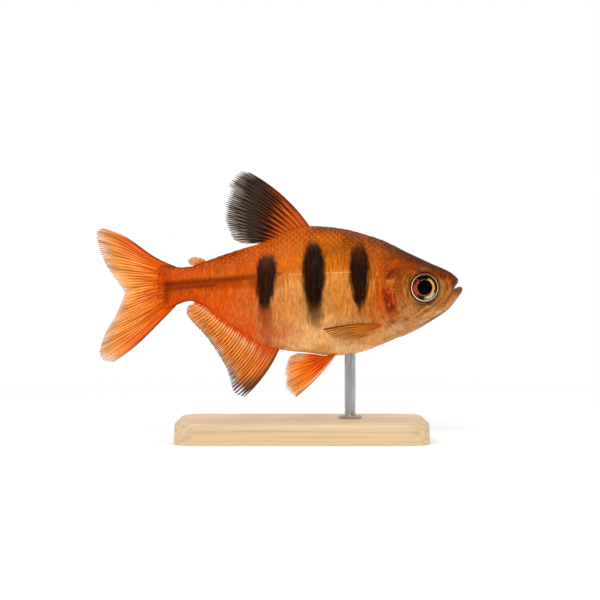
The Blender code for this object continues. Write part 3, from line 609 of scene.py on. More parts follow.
    # Head, over the end of the body's paint
    face = paint.ladder(girth, *HEAD)
    mottle = paint.noise(flat, 1900.0, 4.0, 0.65)
    face = over(face, times(swing(mottle, 0.5, 0.68), swing(girth, 0.74, 0.58), 0.35), (214, 140, 78))
    face = over(face, times(swing(mottle, 0.5, 0.32), 0.32), (96, 46, 18))
    crown = times(swing(girth, 0.66, 0.84), along(18.0, 12.5))
    colour = over(colour, times(along(12.9, 14.8), paint.minus(1.0, crown)), face)
    speckled = stirred(paint, cloudy, 4800.0, 0.6, 0.6)
    for share, tint, middle, size, lean in (
        (0.75, (204, 86, 12), (13.9, 19.6), (0.55, 3.4), 2),  # rear edge of the gill cover
        (0.7, (190, 72, 10), (15.3, 23.9), (1.5, 0.45), 24),
        (0.85, (160, 42, 6), (14.85, 19.1), (1.0, 2.4), 8),  # red of the gills showing through
        (0.7, (96, 24, 8), (14.5, 19.4), (0.4, 0.9), 0),
        (0.5, (186, 44, 14), (15.2, 19.5), (0.4, 0.95), 18),
        (0.7, (92, 26, 10), (15.0, 18.1), (0.55, 0.6), -10),
        (0.5, (222, 110, 80), (14.75, 18.6), (0.2, 0.2), 0),
        (0.5, (214, 110, 50), (14.8, 20.4), (0.3, 0.3), 20),
        (0.7, (178, 62, 12), (15.6, 17.4), (0.5, 0.5), 0),
        (0.65, (214, 124, 40), (14.9, 21.5), (0.8, 0.35), 40),
        (0.7, (104, 34, 14), (15.35, 22.65), (0.8, 0.6), 20),  # dark temple
        (0.7, (124, 44, 14), (14.7, 22.9), (0.7, 0.35), 40),
        (0.6, (150, 54, 10), (16.1, 22.2), (0.5, 0.5), 0),
        (0.55, (200, 98, 28), (17.6, 22.9), (0.9, 0.45), -30),  # streaks over the cheek and behind the eye
        (0.5, (80, 34, 8), (19.4, 23.7), (1.2, 0.4), -22),
        (0.6, (164, 62, 8), (17.4, 23.9), (1.4, 0.45), -8),
        (0.6, (204, 112, 40), (16.95, 21.4), (0.36, 1.5), -6),
        (0.6, (150, 72, 24), (16.4, 20.4), (0.25, 1.4), 6),
        (0.8, (92, 54, 14), (20.0, 18.35), (1.8, 0.6), -2),  # olive shade under and before the eye
        (0.6, (196, 136, 66), (21.95, 20.7), (0.35, 1.2), -6),
        (0.5, (200, 132, 84), (17.8, 17.9), (1.1, 0.7), 20),
        (0.6, (216, 144, 84), (18.0, 16.8), (2.2, 0.4), 14),  # pale lines along the lower cheek and jaw
        (0.6, (222, 146, 80), (20.7, 17.4), (1.8, 0.28), 32),
        (0.55, (236, 192, 142), (21.6, 16.95), (2.3, 0.26), 35),
        (0.5, (156, 88, 38), (16.7, 16.5), (0.8, 0.7), 10),
        (0.5, (226, 142, 74), (14.4, 16.3), (0.7, 0.5), 0),
        (0.35, (234, 190, 140), (20.4, 16.5), (2.2, 0.5), 32),
        (0.8, (168, 88, 26), (22.4, 18.9), (1.1, 0.4), 44),
        (0.6, (204, 112, 40), (23.0, 20.3), (0.28, 0.9), -34),
        (0.6, (196, 100, 34), (22.9, 21.5), (0.7, 0.35), -40),
        (0.8, (62, 40, 30), (23.75, 21.3), (0.4, 0.6), -30),  # painted shade in the fold under the tip of the snout
        (0.8, (112, 76, 56), (24.5, 20.5), (0.8, 0.6), 40),
        (0.65, (112, 44, 16), (15.15, 16.2), (0.45, 0.35), 0),  # isthmus behind the jaw
        (0.5, (236, 184, 134), (15.6, 15.2), (1.4, 0.5), 30),
    ):
        colour = dab(colour, speckled, share, tint, middle, size, lean, soft=0.65)
    for tint, start, end in (
        ((226, 140, 104), (15.75, 20.3), (16.1, 17.6)),  # pale lines along the folds about the gills, painted highlights on their edges
        ((230, 134, 76), (14.5, 20.9), (15.7, 20.5)),
        ((228, 140, 70), (14.3, 21.9), (15.5, 21.6)),
    ):
        colour = stroke(colour, waver, 0.45, tint, start, end, 0.08, 0.9)

    # Uneven wrinkles about the eye, along the cheek towards the jaw, and on the gill cover, painted as dark lines of
    # shade in their hollows and pale lines of highlight on their crests
    ahead, up, away = off_middle(cloudy, EYE_MIDDLE)
    rings = crossed(times(away, 3400.0), paint.maths("ARCTAN2", up, ahead))
    _, up, away = off_middle(cloudy, (19.0, 19.6))
    arcs = crossed(times(away, 3000.0), times(up, 500.0))
    jaw_lines = paint.mapped(paint.mapped(cloudy, turn=math.radians(32)), (300.0, 300.0, 2700.0))
    before_gills = along(15.8, 17.0)
    for lines, centre, reach, shade_tint, highlight_share, highlight_tint, within in (
        (rings, EYE_MIDDLE, (3.5, 3.5), (84, 46, 14), 0.36, (226, 150, 82), before_gills),
        (jaw_lines, (19.3, 17.1), (4.4, 1.5), (92, 46, 14), 0.55, (236, 174, 112), before_gills),
        (arcs, (14.7, 20.4), (1.15, 4.0), (116, 30, 4), 0.55, (228, 112, 34), 1.0),
    ):
        fold = paint.noise(lines, 1.0)
        near = times(spot(paint, flat, centre, reach, 0.4), swing(girth, 0.86, 0.72), within)
        colour = over(colour, times(swing(fold, 0.48, 0.35), near, 0.5), shade_tint)
        colour = over(colour, times(swing(fold, 0.52, 0.65), near, highlight_share), highlight_tint)

    # Greyish brown edge of the snout and of the lower jaw, and a dark rim about the eye
    edge = times(swing(girth, 0.14, 0.07), along(17.5, 21.0), 0.85)
    colour = over(colour, edge, (100, 72, 60))
    ring = paint.minus(
        spot(paint, flat, EYE_MIDDLE, (2.4, 2.4), 0.12), spot(paint, flat, EYE_MIDDLE, (2.0, 2.0), 0.04))
    colour = over(colour, times(ring, 0.3), (86, 52, 22))

    # Fine upright flecks all over
    fleck = paint.noise(paint.mapped(flat, (1.0, 0.5, 0.35), math.radians(8)), 4200.0, 3.0)
    return paint.value("HueSaturation", {"Color": colour, "Value": paint.graded(fleck, 0.3, 0.7, 0.78, 1.22)})


skin_paint = Paint("wet_skin")
skin_grain = skin_paint.noise(skin_paint.place(), 4200.0, 3.0)
skin_paint.finish({
    "Base Color": paint_body(skin_paint), "Roughness": skin_paint.graded(skin_grain, to_low=0.3, to_high=0.5),
    "Normal": skin_paint.value("Bump", {"Height": skin_grain, "Strength": 0.35, "Distance": 0.03 * MM}),
    "Specular IOR Level": 0.04,
})
skin = show("fish_skin", loft(skin_rings), skin_paint)

# The mouth, cut through the snout between the two jaws, with a dull red lining
GAPE_TOP = ((26.0, 22.6), (24.5, 22.0), (24.28, 21.66), (24.02, 21.3), (23.8, 20.98), (23.34, 20.3), (22.66, 19.42))
GAPE_BOTTOM = (
    (26.0, 20.7), (24.96, 20.86), (24.6, 21.02), (24.2, 20.86), (23.84, 20.66), (23.4, 20.22), (22.62, 19.36))
GAPE_REACH = 8  # how far the cut passes out of both sides
GAPE_STEPS = 31
lining = Paint("mouth_lining")
lining.finish({"Roughness": 0.35, "Base Color": lining.ladder(
    lining.noise(lining.place(), 2600.0), (0.3, (96, 40, 28)), (0.7, (150, 78, 58)))})
gape = np.vstack([curve_through(GAPE_TOP, GAPE_STEPS), curve_through(GAPE_BOTTOM, GAPE_STEPS)[::-1]])
gape_rings = [[Vector((x, y, z)) * MM for x, z in gape] for y in (-GAPE_REACH, GAPE_REACH)]
gape_cutter = show("gape_cutter", loft(gape_rings), lining, smooth=False)
gape_step = skin.modifiers.new("gape", "BOOLEAN")
gape_step.operation = "DIFFERENCE"
gape_step.solver = "EXACT"
gape_step.object = gape_cutter
gape_step.material_mode = "TRANSFER"
apply_modifiers(skin)
bpy.data.objects.remove(gape_cutter)
give_girth(skin)
skin.data.shade_smooth()
skin.data.set_sharp_from_angle(angle=math.radians(50))
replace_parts(skin, "head", "lower_jaw", "gill_cover_left", "gill_cover_right", "trunk", "tail_stalk")
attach(skin, "root")


# Lips. A soft bead of bare skin along the edge of each jaw, thickest at the tip of the snout and lost at the corners
# of the mouth. Each is a round bar bent along its jaw and half sunk in it.
UPPER_LIP = ((22.6, 19.46), (23.26, 20.28), (23.7, 20.98), (23.94, 21.38), (24.18, 21.7))
LOWER_LIP = ((22.7, 19.3), (23.45, 20.1), (23.9, 20.52), (24.3, 20.72), (24.68, 20.76))
LIP_RADIUS, LIP_CORNER = 0.18, 0.05
LIP_SIDES, LIP_STEPS = 14, 26  # points round the bead, and along one side of a jaw


def flank(x, z):
    """Half width of the body at each place seen from the side."""
    back, belly, level, half, upper, lower = body_at(x)
    above = z > level
    reach = np.where(above, back - level, level - belly)
    full = np.where(above, upper, lower)
    share = np.clip(np.abs(z - level) / reach, 0, 1)
    return half * (1 - share ** full) ** (1 / full)


def round_ring(middle, across, up, radius, sides):
    """A round ring of points about a middle, in the plane of across and up."""
    turns = [2 * math.pi * n / sides for n in range(sides)]
    return [(middle + (across * math.cos(t) + up * math.sin(t)) * radius) * MM for t in turns]


def make_lip(name, line):
    """A lip over both sides, along a line from the corner of the mouth to the tip of the snout."""
    half = curve_through(line, LIP_STEPS)
    y = flank(half[:, 0], half[:, 1])
    y[-1] = 0.0
    path = [Vector((x, w, z)) for (x, z), w in zip(half, y)]
    path += [Vector((v.x, -v.y, v.z)) for v in reversed(path[:-1])]
    middle = len(path) // 2
    rings = []
    for k, point in enumerate(path):
        ahead = (path[min(k + 1, len(path) - 1)] - path[max(k - 1, 0)]).normalized()
        across = ahead.cross(Vector((0, 0, 1))).normalized()
        radius = LIP_RADIUS + (LIP_CORNER - LIP_RADIUS) * (abs(k - middle) / middle) ** 2
        rings.append(round_ring(point, across, across.cross(ahead), radius, LIP_SIDES))
    lip = show(name, loft(rings), lip_paint)
    give_girth(lip)
    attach(lip, "root")


lip_paint = Paint("lip_skin")
lip_paint.finish({"Base Color": lip_paint.over(paint_body(lip_paint), 0.6, (112, 72, 54)), "Roughness": 0.35,
                  "Specular IOR Level": 0.15})
make_lip("upper_lip", UPPER_LIP)
make_lip("lower_lip", LOWER_LIP)


# Eyes. Each is a ball of its own seated in the socket, turned a little forward. The iris dips towards the black
# pupil inside a thin cream rim, and a clear cornea domes over both.
SIDES = ((-1, "right"), (1, "left"))
EYE_SEAT, EYE_TURN = 2.3, 8.0  # how far out the rim lies, and degrees turned forward
EYE_STEPS = 64
# Radius and height off the rim's plane, from the back of the ball to the middle of the pupil
EYE_PROFILE = (
    (0.3, -1.25), (0.9, -1.15), (1.5, -0.8), (1.86, -0.35), (1.97, -0.08), (1.99, 0.02), (1.94, 0.08), (1.86, 0.15),
    (1.78, 0.16), (1.71, 0.12), (1.56, 0.1), (1.35, 0.06), (1.17, 0.02), (1.13, 0.05), (1.09, 0.06), (1.06, 0.02),
    (1.03, -0.02), (0.8, 0.06), (0.4, 0.12), (0.1, 0.14),
)
CORNEA_PROFILE = (
    (0.4, 0.02), (1.64, 0.08), (1.76, 0.13), (1.74, 0.2), (1.56, 0.33), (1.2, 0.47), (0.7, 0.57), (0.15, 0.61))


def spun(name, profile, side, paint):
    """A closed turned shape about the axis of one eye."""
    turn = math.radians(EYE_TURN)
    axis = Vector((math.sin(turn), side * math.cos(turn), 0))
    ahead = Vector((math.cos(turn), -side * math.sin(turn), 0))
    middle = Vector((EYE_MIDDLE[0], side * EYE_SEAT, EYE_MIDDLE[1]))
    made = show(name, loft([
        round_ring(middle + axis * height, ahead, Vector((0, 0, 1)), radius, EYE_STEPS)
        for radius, height in profile]), paint)
    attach(made, "root")
    return made


iris = Paint("iris_and_pupil")
iris_flat = iris.vector(
    "MULTIPLY", iris.mapped(iris.place(), (MM, 1.0, MM), at=EYE_MIDDLE, kind="TEXTURE"), (1.0, 0.0, 1.0))
iris_radius = iris.vector("LENGTH", iris_flat)
iris_way = iris.vector("NORMALIZE", iris_flat)
iris_colour = iris.ladder(
    iris.noise(iris_flat, 4.0, 3.0), (0.3, (120, 62, 30)), (0.55, (164, 84, 40)), (0.75, (190, 116, 60)))
for inner, outer, degrees, spread, share, tint in (
    (1.2, 1.8, 188, 62, 0.95, (190, 40, 10)),  # red behind the pupil, brightest within
    (1.2, 1.45, 200, 40, 0.6, (226, 84, 34)),
    (1.25, 1.8, 132, 32, 0.9, (92, 14, 6)),
    (1.1, 1.8, 86, 46, 0.98, (10, 4, 3)),  # dark above, dark olive in front
    (1.4, 1.8, 8, 60, 0.95, (44, 32, 10)),
    (1.12, 1.36, 14, 54, 0.97, (246, 196, 104)),  # gold along the front of the pupil
    (1.2, 1.8, 255, 30, 0.95, (44, 14, 8)),
    (1.24, 1.8, 302, 28, 0.95, (236, 222, 180)),
):
    turn = math.radians(degrees)
    facing = iris.vector("DOT_PRODUCT", iris_way, (math.cos(turn), 0.0, math.sin(turn)))
    limit = math.cos(math.radians(spread))
    arc = iris.times(
        iris.swing(facing, limit - 0.1, limit + 0.12), iris.swing(iris_radius, inner - 0.06, inner + 0.06),
        iris.swing(iris_radius, outer + 0.06, outer - 0.06))
    iris_colour = iris.over(iris_colour, iris.times(arc, share), tint)
iris_height = iris.plus(iris.times(iris.parts(iris_flat)[2], 0.25), 0.5)
iris_rim = iris.ladder(iris_height, (0.0, (255, 250, 232)), (0.35, (255, 240, 204)), (0.7, (240, 200, 146)),
                       (0.9, (190, 146, 98)), (1.0, (140, 100, 64)))
for bare_radius, full_radius, tint in (
    (1.6, 1.68, (40, 18, 8)), (1.72, 1.75, iris_rim), (1.82, 1.87, (104, 64, 34)), (1.12, 1.09, (188, 112, 78)),
    (1.06, 1.02, (0, 0, 0)),
):
    iris_colour = iris.over(iris_colour, iris.swing(iris_radius, bare_radius, full_radius), tint)
iris.finish({"Base Color": iris_colour, "Roughness": 0.35, "Specular IOR Level": 0.05})

cornea = Paint("cornea")
cornea_ripple = cornea.noise(cornea.place(), 900.0)
cornea_gloss = cornea.value("BsdfGlossy", {
    "Color": (0.5, 0.5, 0.5, 1.0), "Roughness": cornea.graded(cornea_ripple, to_low=0.02, to_high=0.05)})
cornea_mix = cornea.value("MixShader", {
    0: cornea.value("Fresnel", {"IOR": 1.14}), 1: cornea.value("BsdfTransparent"), 2: cornea_gloss})
cornea.wire(cornea.tree.nodes["Material Output"], {"Surface": cornea_mix})
cornea.tree.nodes.remove(cornea.shader)

for side, word in SIDES:
    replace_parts(spun("eyeball_" + word, EYE_PROFILE, side, iris), "eye_" + word)
    spun("cornea_" + word, CORNEA_PROFILE, side, cornea)


# Scales. Thin rounded plates in rows from the nape and gill cover to the tail fin, their front ends in the skin and
# their free edges laid back over the next. One coat for each flank.
SCALE_PITCH, SCALE_ROW = 0.86, 0.45  # from plate to plate along a row, and from row to row
SCALE_LENGTH, SCALE_WIDTH, SCALE_THICK = 1.4, 1.0, 0.012
SCALE_ROOT, SCALE_TIP = -0.12, -0.068  # depth of a plate's two ends under the body's outer surface
SCALE_CROWN = 0.012  # how far a plate's middle stands over its two sides
COAT_START, COAT_END = 14.9, -16.8
ROWS_EACH_WAY, PLATES_IN_ROW = 40, 70  # the most there can be, from the widest level and from the head
SCALE_SEED = 11


def scale_template():
    """One plate, one unit long and wide, with its free end rounded towards the tail."""
    bm = bmesh.new()
    bmesh.ops.create_grid(bm, x_segments=5, y_segments=4, size=0.5)
    for vertex in bm.verts:
        rounding = math.sqrt(max(0.0, 1 - (abs(vertex.co.y) * 1.95) ** 2.2))
        vertex.co.x = (vertex.co.x - 0.5) * (0.56 + 0.44 * rounding) + 0.5
    for part in bmesh.ops.extrude_face_region(bm, geom=bm.faces[:])["geom"]:
        if isinstance(part, bmesh.types.BMVert):
            part.co.z = 1.0
    bmesh.ops.recalc_face_normals(bm, faces=bm.faces)
    return bm


coat_seats = []
for row in range(-ROWS_EACH_WAY, ROWS_EACH_WAY + 1):
    for column in range(PLATES_IN_ROW):
        x = COAT_START - SCALE_PITCH * (column + (row % 2) / 2)
        if x - SCALE_LENGTH / 2 < COAT_END:
            break
        length, level = (np.interp(x, CHART_X, chart) for chart in (chart_length, chart_level))
        crowd = np.interp(x, (-16, -9, 0, 12), (0.62, 0.72, 1.0, 1.0))  # rows draw together on the stalk
        share = level + SCALE_ROW * crowd * (row + 0.5) / length
        if not 0.0 < share < 0.99:
            continue
        z = read_chart(chart_z, np.array(x), np.array(share))
        if x + SCALE_LENGTH * 0.5 < gill_edge_at(z) - 0.05 + 0.5 * ease(24.4, 26.0, z):
            coat_seats.append((x, share, crowd))
coat_seats = np.array(coat_seats)

scale_plate = show("scale_plate", scale_template(), skin_paint)
plate_points = len(scale_plate.data.vertices)
scale_rows = scale_plate.modifiers.new("rows", "ARRAY")
scale_rows.use_relative_offset = False
scale_rows.use_constant_offset = True
scale_rows.constant_offset_displace = (0, 0, 0)
scale_rows.count = len(coat_seats)
apply_modifiers(scale_plate)
along, across, top = points_of(scale_plate).T
plate_number = np.arange(len(along)) // plate_points
seat_x, seat_share, seat_crowd = coat_seats[plate_number].T
draws = np.random.default_rng(SCALE_SEED).uniform(-1, 1, (len(coat_seats), 3))
longer, wider, astray = draws[plate_number].T
seat_girth = np.interp(seat_x, CHART_X, chart_length)
past_root = 0.5 - along  # 0 at a plate's root and 1 at its free end
# Each plate is at random a little longer or shorter, wider or narrower, and ahead of its seat or behind it
coat_x = seat_x + 0.06 * astray + along * SCALE_LENGTH * (1 + 0.07 * longer)
coat_x = np.clip(coat_x, CHART_X[0], CHART_X[-1])
coat_share = seat_share + across * SCALE_WIDTH * seat_crowd * (1 + 0.05 * wider) / seat_girth
coat_lift = SCALE_ROOT + (SCALE_TIP - SCALE_ROOT) * past_root + SCALE_CROWN * (1 - (2 * across) ** 2)
coat_lift = coat_lift + SCALE_THICK * top + 0.006 * astray * past_root
over_edge = np.where((coat_share > 1) | (coat_share < 0), -1, 1)  # plates that reach past the back or the belly
folded = np.where(coat_share > 1, 2 - coat_share, np.abs(coat_share))
# For the bake each plate has its own small patch, where its seat is on the unrolled flank
bake_u = (seat_x - CHART_X[0]) / (CHART_X[-1] - CHART_X[0]) + along * 0.003
bake_v = 0.01 + 0.98 * seat_share + across * 0.003

plates = Paint("scale_plates")
plate_uv = plates.value("UVMap", uv_map="plate")
# Each plate is darkened along its free edge, painted shade where it lies over the next plate, and lightened in its
# middle, a painted highlight. Both are stronger towards the back. The fine ribs are the plates' own.
plate_edge_shade = plates.swing(plates.parts(plate_uv)[0], 0.22, 0.02)
plate_rib = plates.noise(plates.mapped(plate_uv, (0.6, 9.0, 1.0)), 1.2)
near_back = plates.swing(plates.attribute("girth"), 0.76, 0.9)
plate_highlight = plates.swing(plates.vector("DISTANCE", plate_uv, (0.34, 0.5, 0.0)), 0.3, 0.08)
plate_light = plates.plus(plates.times(plate_rib, 0.16), 0.95)
plate_light = plates.minus(plate_light, plates.times(plate_edge_shade, plates.plus(0.04, plates.times(near_back, 0.34))))
plate_light = plates.plus(plate_light, plates.times(plate_highlight, near_back, 0.28))
plates.finish({
    "Base Color": plates.value("HueSaturation", {"Color": paint_body(plates), "Value": plate_light}),
    "Roughness": plates.graded(plate_rib, to_low=0.26, to_high=0.46), "Specular IOR Level": 0.04,
})

for side, word in SIDES:
    spots = on_body(coat_x, folded, side, coat_lift)
    spots[:, 1] *= over_edge
    coat_mesh = scale_plate.data.copy()
    coat_mesh.vertices.foreach_set("co", (spots * MM).ravel())
    coat_bm = bmesh.new()
    coat_bm.from_mesh(coat_mesh)
    for uv_name, u, v in (("OFBake", bake_u, bake_v), ("plate", 1 - past_root, across + 0.5)):
        layer = coat_bm.loops.layers.uv.new(uv_name)
        for face in coat_bm.faces:
            for corner in face.loops:
                k = corner.vert.index
                corner[layer].uv = (u[k], v[k])
    if side > 0:
        bmesh.ops.reverse_faces(coat_bm, faces=coat_bm.faces)
    coat = show("scales_" + word, coat_bm, plates)
    coat.data.set_sharp_from_angle(angle=math.radians(30))
    note(coat, "girth", folded)
    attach(coat, "root")
bpy.data.objects.remove(scale_plate)


# Fins. Each is one thin web stiffened by rays, which fork on their way out and end in a frayed edge. Their roots
# are sunk in the skin. Points are given forward and up, along the root line and along the tips of the rays.
BACK, BELLY = 0, 1


def root_line(edge, first, last, lift):
    """Points along the back or the belly, raised by lift."""
    x = np.linspace(first, last, 7)
    return np.stack([x, body_at(x)[edge] + lift], -1)


def by_length(points, shares):
    """Points at the given shares of the length of a smooth curve."""
    line = curve_through(points, len(points) * 16)
    lengths = np.concatenate([[0], np.cumsum(np.linalg.norm(np.diff(line, axis=0), axis=1))])
    return np.stack([np.interp(np.asarray(shares) * lengths[-1], lengths, column) for column in line.T], -1)


def make_fin(name, nodes, paint, root, tip, rays, bow, sideways, ray=0.13, web=0.035, sink=0.5,
             splits=(0.25, 0.6), plain=0.02, fray=0.09, sway=(0.0, 0.0), columns=16, rows=28, seed=1):
    """A fin of rays whose arch runs through the steps of bow, with sideways(x, z, u) its place off the middle.

    The rays fork at the shares of their length in splits, but for the first ones, up to the share plain of them.
    sway is how far the first and the last ray swing out past the middle of their length, and in before it.
    """
    bm = bmesh.new()
    bmesh.ops.create_grid(bm, x_segments=(rays - 1) * columns, y_segments=rows, size=0.5)
    bmesh.ops.extrude_face_region(bm, geom=bm.faces[:])
    spots = np.array([vertex.co for vertex in bm.verts])
    s, u = spots[:, 0] + 0.5, spots[:, 1] + 0.5
    face = np.where(np.arange(len(spots)) < len(spots) // 2, -1.0, 1.0)
    # Rays fork in two and again in two, each fork at its own height, and the first rays not at all
    place = s * (rays - 1)
    nearest = np.round(place)
    off = place - nearest
    own = np.random.default_rng(seed).uniform(-1, 1, (rays, 8))[nearest.astype(int)]
    first, second = splits
    forked = ease(0.0, plain, s)
    wide = 0.25 * ease(first, first + 0.3, u + 0.05 * own[:, 0]) * forked
    narrow = 0.125 * ease(second, second + 0.25, u + 0.05 * own[:, 1]) * forked
    forks = np.stack([np.abs(off - a * wide - b * narrow) for a in (-1, 1) for b in (-1, 1)], -1)
    spread = 0.15 - (0.075 if second < 1 else 0.03) * ease(first, 1.0, u) + 0.06 * (1 - forked)
    strength = ridge(forks.min(1), spread)
    # The edge frays: each fork reaches its own length and the web between them stops short
    drawn = own[np.arange(len(own)), 2 + forks.argmin(1)] * 0.5 + 0.5
    reach = 1.015 - fray * (1 - strength) - 0.45 * fray * drawn - 0.5 * fray * (own[:, 6] * 0.5 + 0.5)
    u_out = u * (1 - (1 - reach) * ease(0.3, 1.0, u))
    start, end = by_length(root, s), by_length(tip, s)
    run = end - start
    length = np.linalg.norm(run, axis=1, keepdims=True)
    outward = np.stack([run[:, 1], -run[:, 0]], -1) / length
    bend = (start + end) / 2 + outward * np.interp(s, np.linspace(0, 1, len(bow)), bow)[:, None] * 2
    sunk = sink / length[:, 0]
    t = (u_out * (1 + sunk) - sunk)[:, None]
    out = np.clip(t[:, 0], 0, 1)
    curve = (1 - t) ** 2 * start + 2 * t * (1 - t) * bend + t * t * end
    edge = sway[0] * ease(0.25, 0.0, s) - sway[1] * ease(0.75, 1.0, s)
    curve = curve - outward * (edge * np.sin(2 * math.pi * out))[:, None]
    web_here = web * (1 - 0.6 * u)
    thick = web_here + np.maximum(ray * (1 - 0.72 * u) - web_here, 0) * strength
    across = sideways(curve[:, 0], curve[:, 1], out) + face * thick
    for vertex, spot_now in zip(bm.verts, np.stack([curve[:, 0], across, curve[:, 1]], -1) * MM):
        vertex.co = spot_now
    bmesh.ops.recalc_face_normals(bm, faces=bm.faces)
    fin = show(name, bm, paint)
    for key, values in (("ray", strength), ("out", out), ("row", s)):
        note(fin, key, values)
    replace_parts(fin, *nodes)
    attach(fin, "root")


def fin_paint(name, web, ray, marks=(), lean=0.0, core=(0.3, 0.8), grain=30.0, solid=1.0, wear=0.0,
              fringe=(0.8, 1.0), hold=0.5):
    """Web and ray colours from root to tip, and marks laid over them between shares of row and out.

    lean moves the colours out along the first rays, core is where a ray's own colour starts and is full, grain
    is how many streaks cross the fin, solid how dense the web is, and fringe where it wears through to the rays,
    by wear earlier along the first ones, and hold how much more of a ray is left there than of the web.
    """
    paint = Paint(name)
    plus, minus, times, swing = paint.plus, paint.minus, paint.times, paint.swing
    out, row, ray_share = (paint.attribute(key) for key in ("out", "row", "ray"))
    grid = paint.value("CombineXYZ", {"X": row, "Y": out})
    streak, thread = (paint.noise(paint.mapped(grid, (count, 1.6, 1.0)), 1.0, 1.0) for count in (grain, 2.6 * grain))
    wobble = plus(out, times(minus(streak, 0.5), 0.3))
    leant = plus(wobble, times(minus(row, 0.5), lean))
    own_ray = swing(ray_share, *core)
    colour = paint.over(paint.ladder(leant, *web), own_ray, paint.ladder(leant, *ray))
    for low_row, high_row, low_out, high_out, share, tint in marks:
        mark = times(swing(row, low_row, high_row), swing(wobble, low_out, high_out), share)
        colour = paint.over(colour, mark, tint)
    # The web wears through between the rays at its own place in each thread, and the rays only past it
    worn = plus(out, times(minus(thread, 0.5), 0.4))
    worn = plus(worn, times(swing(row, 0.4, 0.1), wear))
    gap = swing(minus(worn, times(own_ray, 0.14)), *fringe)
    kept = minus(1.0, times(gap, minus(0.94, times(own_ray, hold))))
    body = plus(solid, times(own_ray, 1.0 - solid))
    light = paint.graded(streak, 0.3, 0.7, 0.68, 1.3)
    paint.finish({"Base Color": paint.value("HueSaturation", {"Color": colour, "Value": light}),
                  "Alpha": times(kept, body), "Roughness": 0.42, "Specular IOR Level": 0.06})
    return paint


def upright(wave, beat, phase):
    """A sheet in the middle plane that waves a little towards its tips."""
    return lambda x, z, u: wave * u * np.sin(x / beat + z / (1.7 * beat) + phase)


dorsal = fin_paint(
    "dorsal_web",
    web=((0.0, (190, 72, 8)), (0.12, (112, 36, 6)), (0.25, (34, 15, 8)), (0.46, (38, 25, 19)), (0.64, (72, 57, 46)),
         (0.82, (136, 120, 106)), (1.0, (214, 206, 196))),
    ray=((0.0, (238, 126, 40)), (0.14, (226, 102, 24)), (0.3, (104, 42, 16)), (0.5, (76, 52, 38)),
         (0.66, (30, 21, 17)), (1.0, (48, 40, 36))),
    marks=((0.12, 0.05, 0.75, 0.5, 0.3, (204, 90, 28)), (0.035, 0.01, -0.3, -0.1, 0.85, (62, 30, 16)),
           (0.9, 1.0, 0.4, 0.2, 0.75, (238, 184, 144)), (0.5, 0.2, 0.78, 0.95, 0.35, (170, 160, 148))),
    core=(0.3, 0.7), lean=0.38, grain=32.0, fringe=(0.9, 1.16), hold=0.8)
make_fin(
    "dorsal_fin_web", ["dorsal_fin"], dorsal, root_line(BACK, 4.05, -2.75, -0.1),
    ((-4.4, 36.8), (-5.55, 36.92), (-6.62, 36.2), (-7.25, 34.0), (-7.65, 31.6), (-7.5, 29.6), (-6.8, 27.95),
     (-5.7, 27.05), (-4.35, 26.85)), 13, (0.7, 0.05), upright(0.22, 2.4, 0.4),
    ray=0.1, splits=(0.18, 0.66), plain=0.04, sink=0.3, fray=0.07, columns=20, seed=2)

anal = fin_paint(
    "anal_web",
    web=((0.0, (230, 86, 14)), (0.12, (255, 178, 116)), (0.34, (250, 144, 58)), (0.74, (246, 146, 66)),
         (1.0, (242, 194, 152))),
    ray=((0.0, (206, 62, 4)), (0.14, (136, 44, 4)), (0.5, (140, 50, 6)), (0.8, (138, 70, 34)), (0.97, (78, 54, 42))),
    marks=((0.97, 0.9, 0.88, 0.97, 0.5, (92, 64, 48)), (0.2, 0.05, 0.55, 0.86, 0.75, (56, 44, 38)),
           (0.12, 0.04, 0.3, 0.6, 0.6, (84, 48, 30)), (0.34, 0.2, 0.8, 0.95, 0.7, (50, 36, 30)),
           (0.7, 1.0, -0.2, 0.1, 0.4, (252, 166, 100)), (0.3, 0.12, 0.26, 0.1, 0.7, (224, 88, 16)),
           (0.4, 0.1, 0.7, 0.28, 0.4, (196, 70, 4)), (0.03, 0.012, -0.3, 0.2, 0.85, (88, 40, 18))),
    core=(0.3, 0.75), grain=50.0, wear=0.08, fringe=(0.86, 1.06), hold=0.75)
make_fin(
    "anal_fin_web", ["anal_fin"], anal, root_line(BELLY, -0.2, -11.85, -0.2),
    ((-4.95, 5.8), (-6.4, 6.75), (-7.08, 9.15), (-8.0, 10.98), (-9.33, 13.1), (-10.63, 14.72), (-11.93, 16.1),
     (-12.75, 17.18), (-12.78, 18.0), (-12.42, 18.55)), 36, (-0.42, -0.1), upright(0.2, 2.2, 1.2),
    ray=0.07, splits=(0.5, 1.4), plain=0.24, fray=0.022, columns=12, seed=3)

tail = fin_paint(
    "tail_web",
    web=((0.0, (210, 74, 0)), (0.14, (232, 98, 14)), (0.28, (226, 90, 6)), (0.5, (226, 102, 12)),
         (0.78, (234, 128, 44)), (1.0, (246, 186, 126))),
    ray=((0.0, (214, 78, 2)), (0.14, (240, 112, 28)), (0.3, (250, 142, 50)), (0.5, (255, 180, 98)),
         (0.78, (252, 178, 98)), (1.0, (214, 148, 92))),
    marks=((0.22, 0.03, 1.0, 0.6, 0.65, (226, 74, 0)), (0.78, 0.98, 1.0, 0.6, 0.65, (228, 82, 2)),
           (0.8, 0.95, 0.5, 0.8, 0.35, (196, 112, 54)), (0.035, 0.0, 0.9, 0.5, 0.9, (100, 32, 6)),
           (0.965, 1.0, 0.9, 0.5, 0.9, (100, 32, 6))),
    core=(0.25, 0.8), grain=26.0, fringe=(0.79, 1.04))
TAIL_MIDDLE, TAIL_REACH = 20.95, 3.3  # level of the fin's fork, and how far its root reaches above and below
tail_root = [(-14.4, body_at(-14.4)[BACK] + 0.02)]
tail_root += [(-16.4 + (1 - k / 4) ** 2, TAIL_MIDDLE + TAIL_REACH * (1 - k / 4)) for k in range(1, 8)]
tail_root += [(-14.3, body_at(-14.3)[BELLY] - 0.06)]
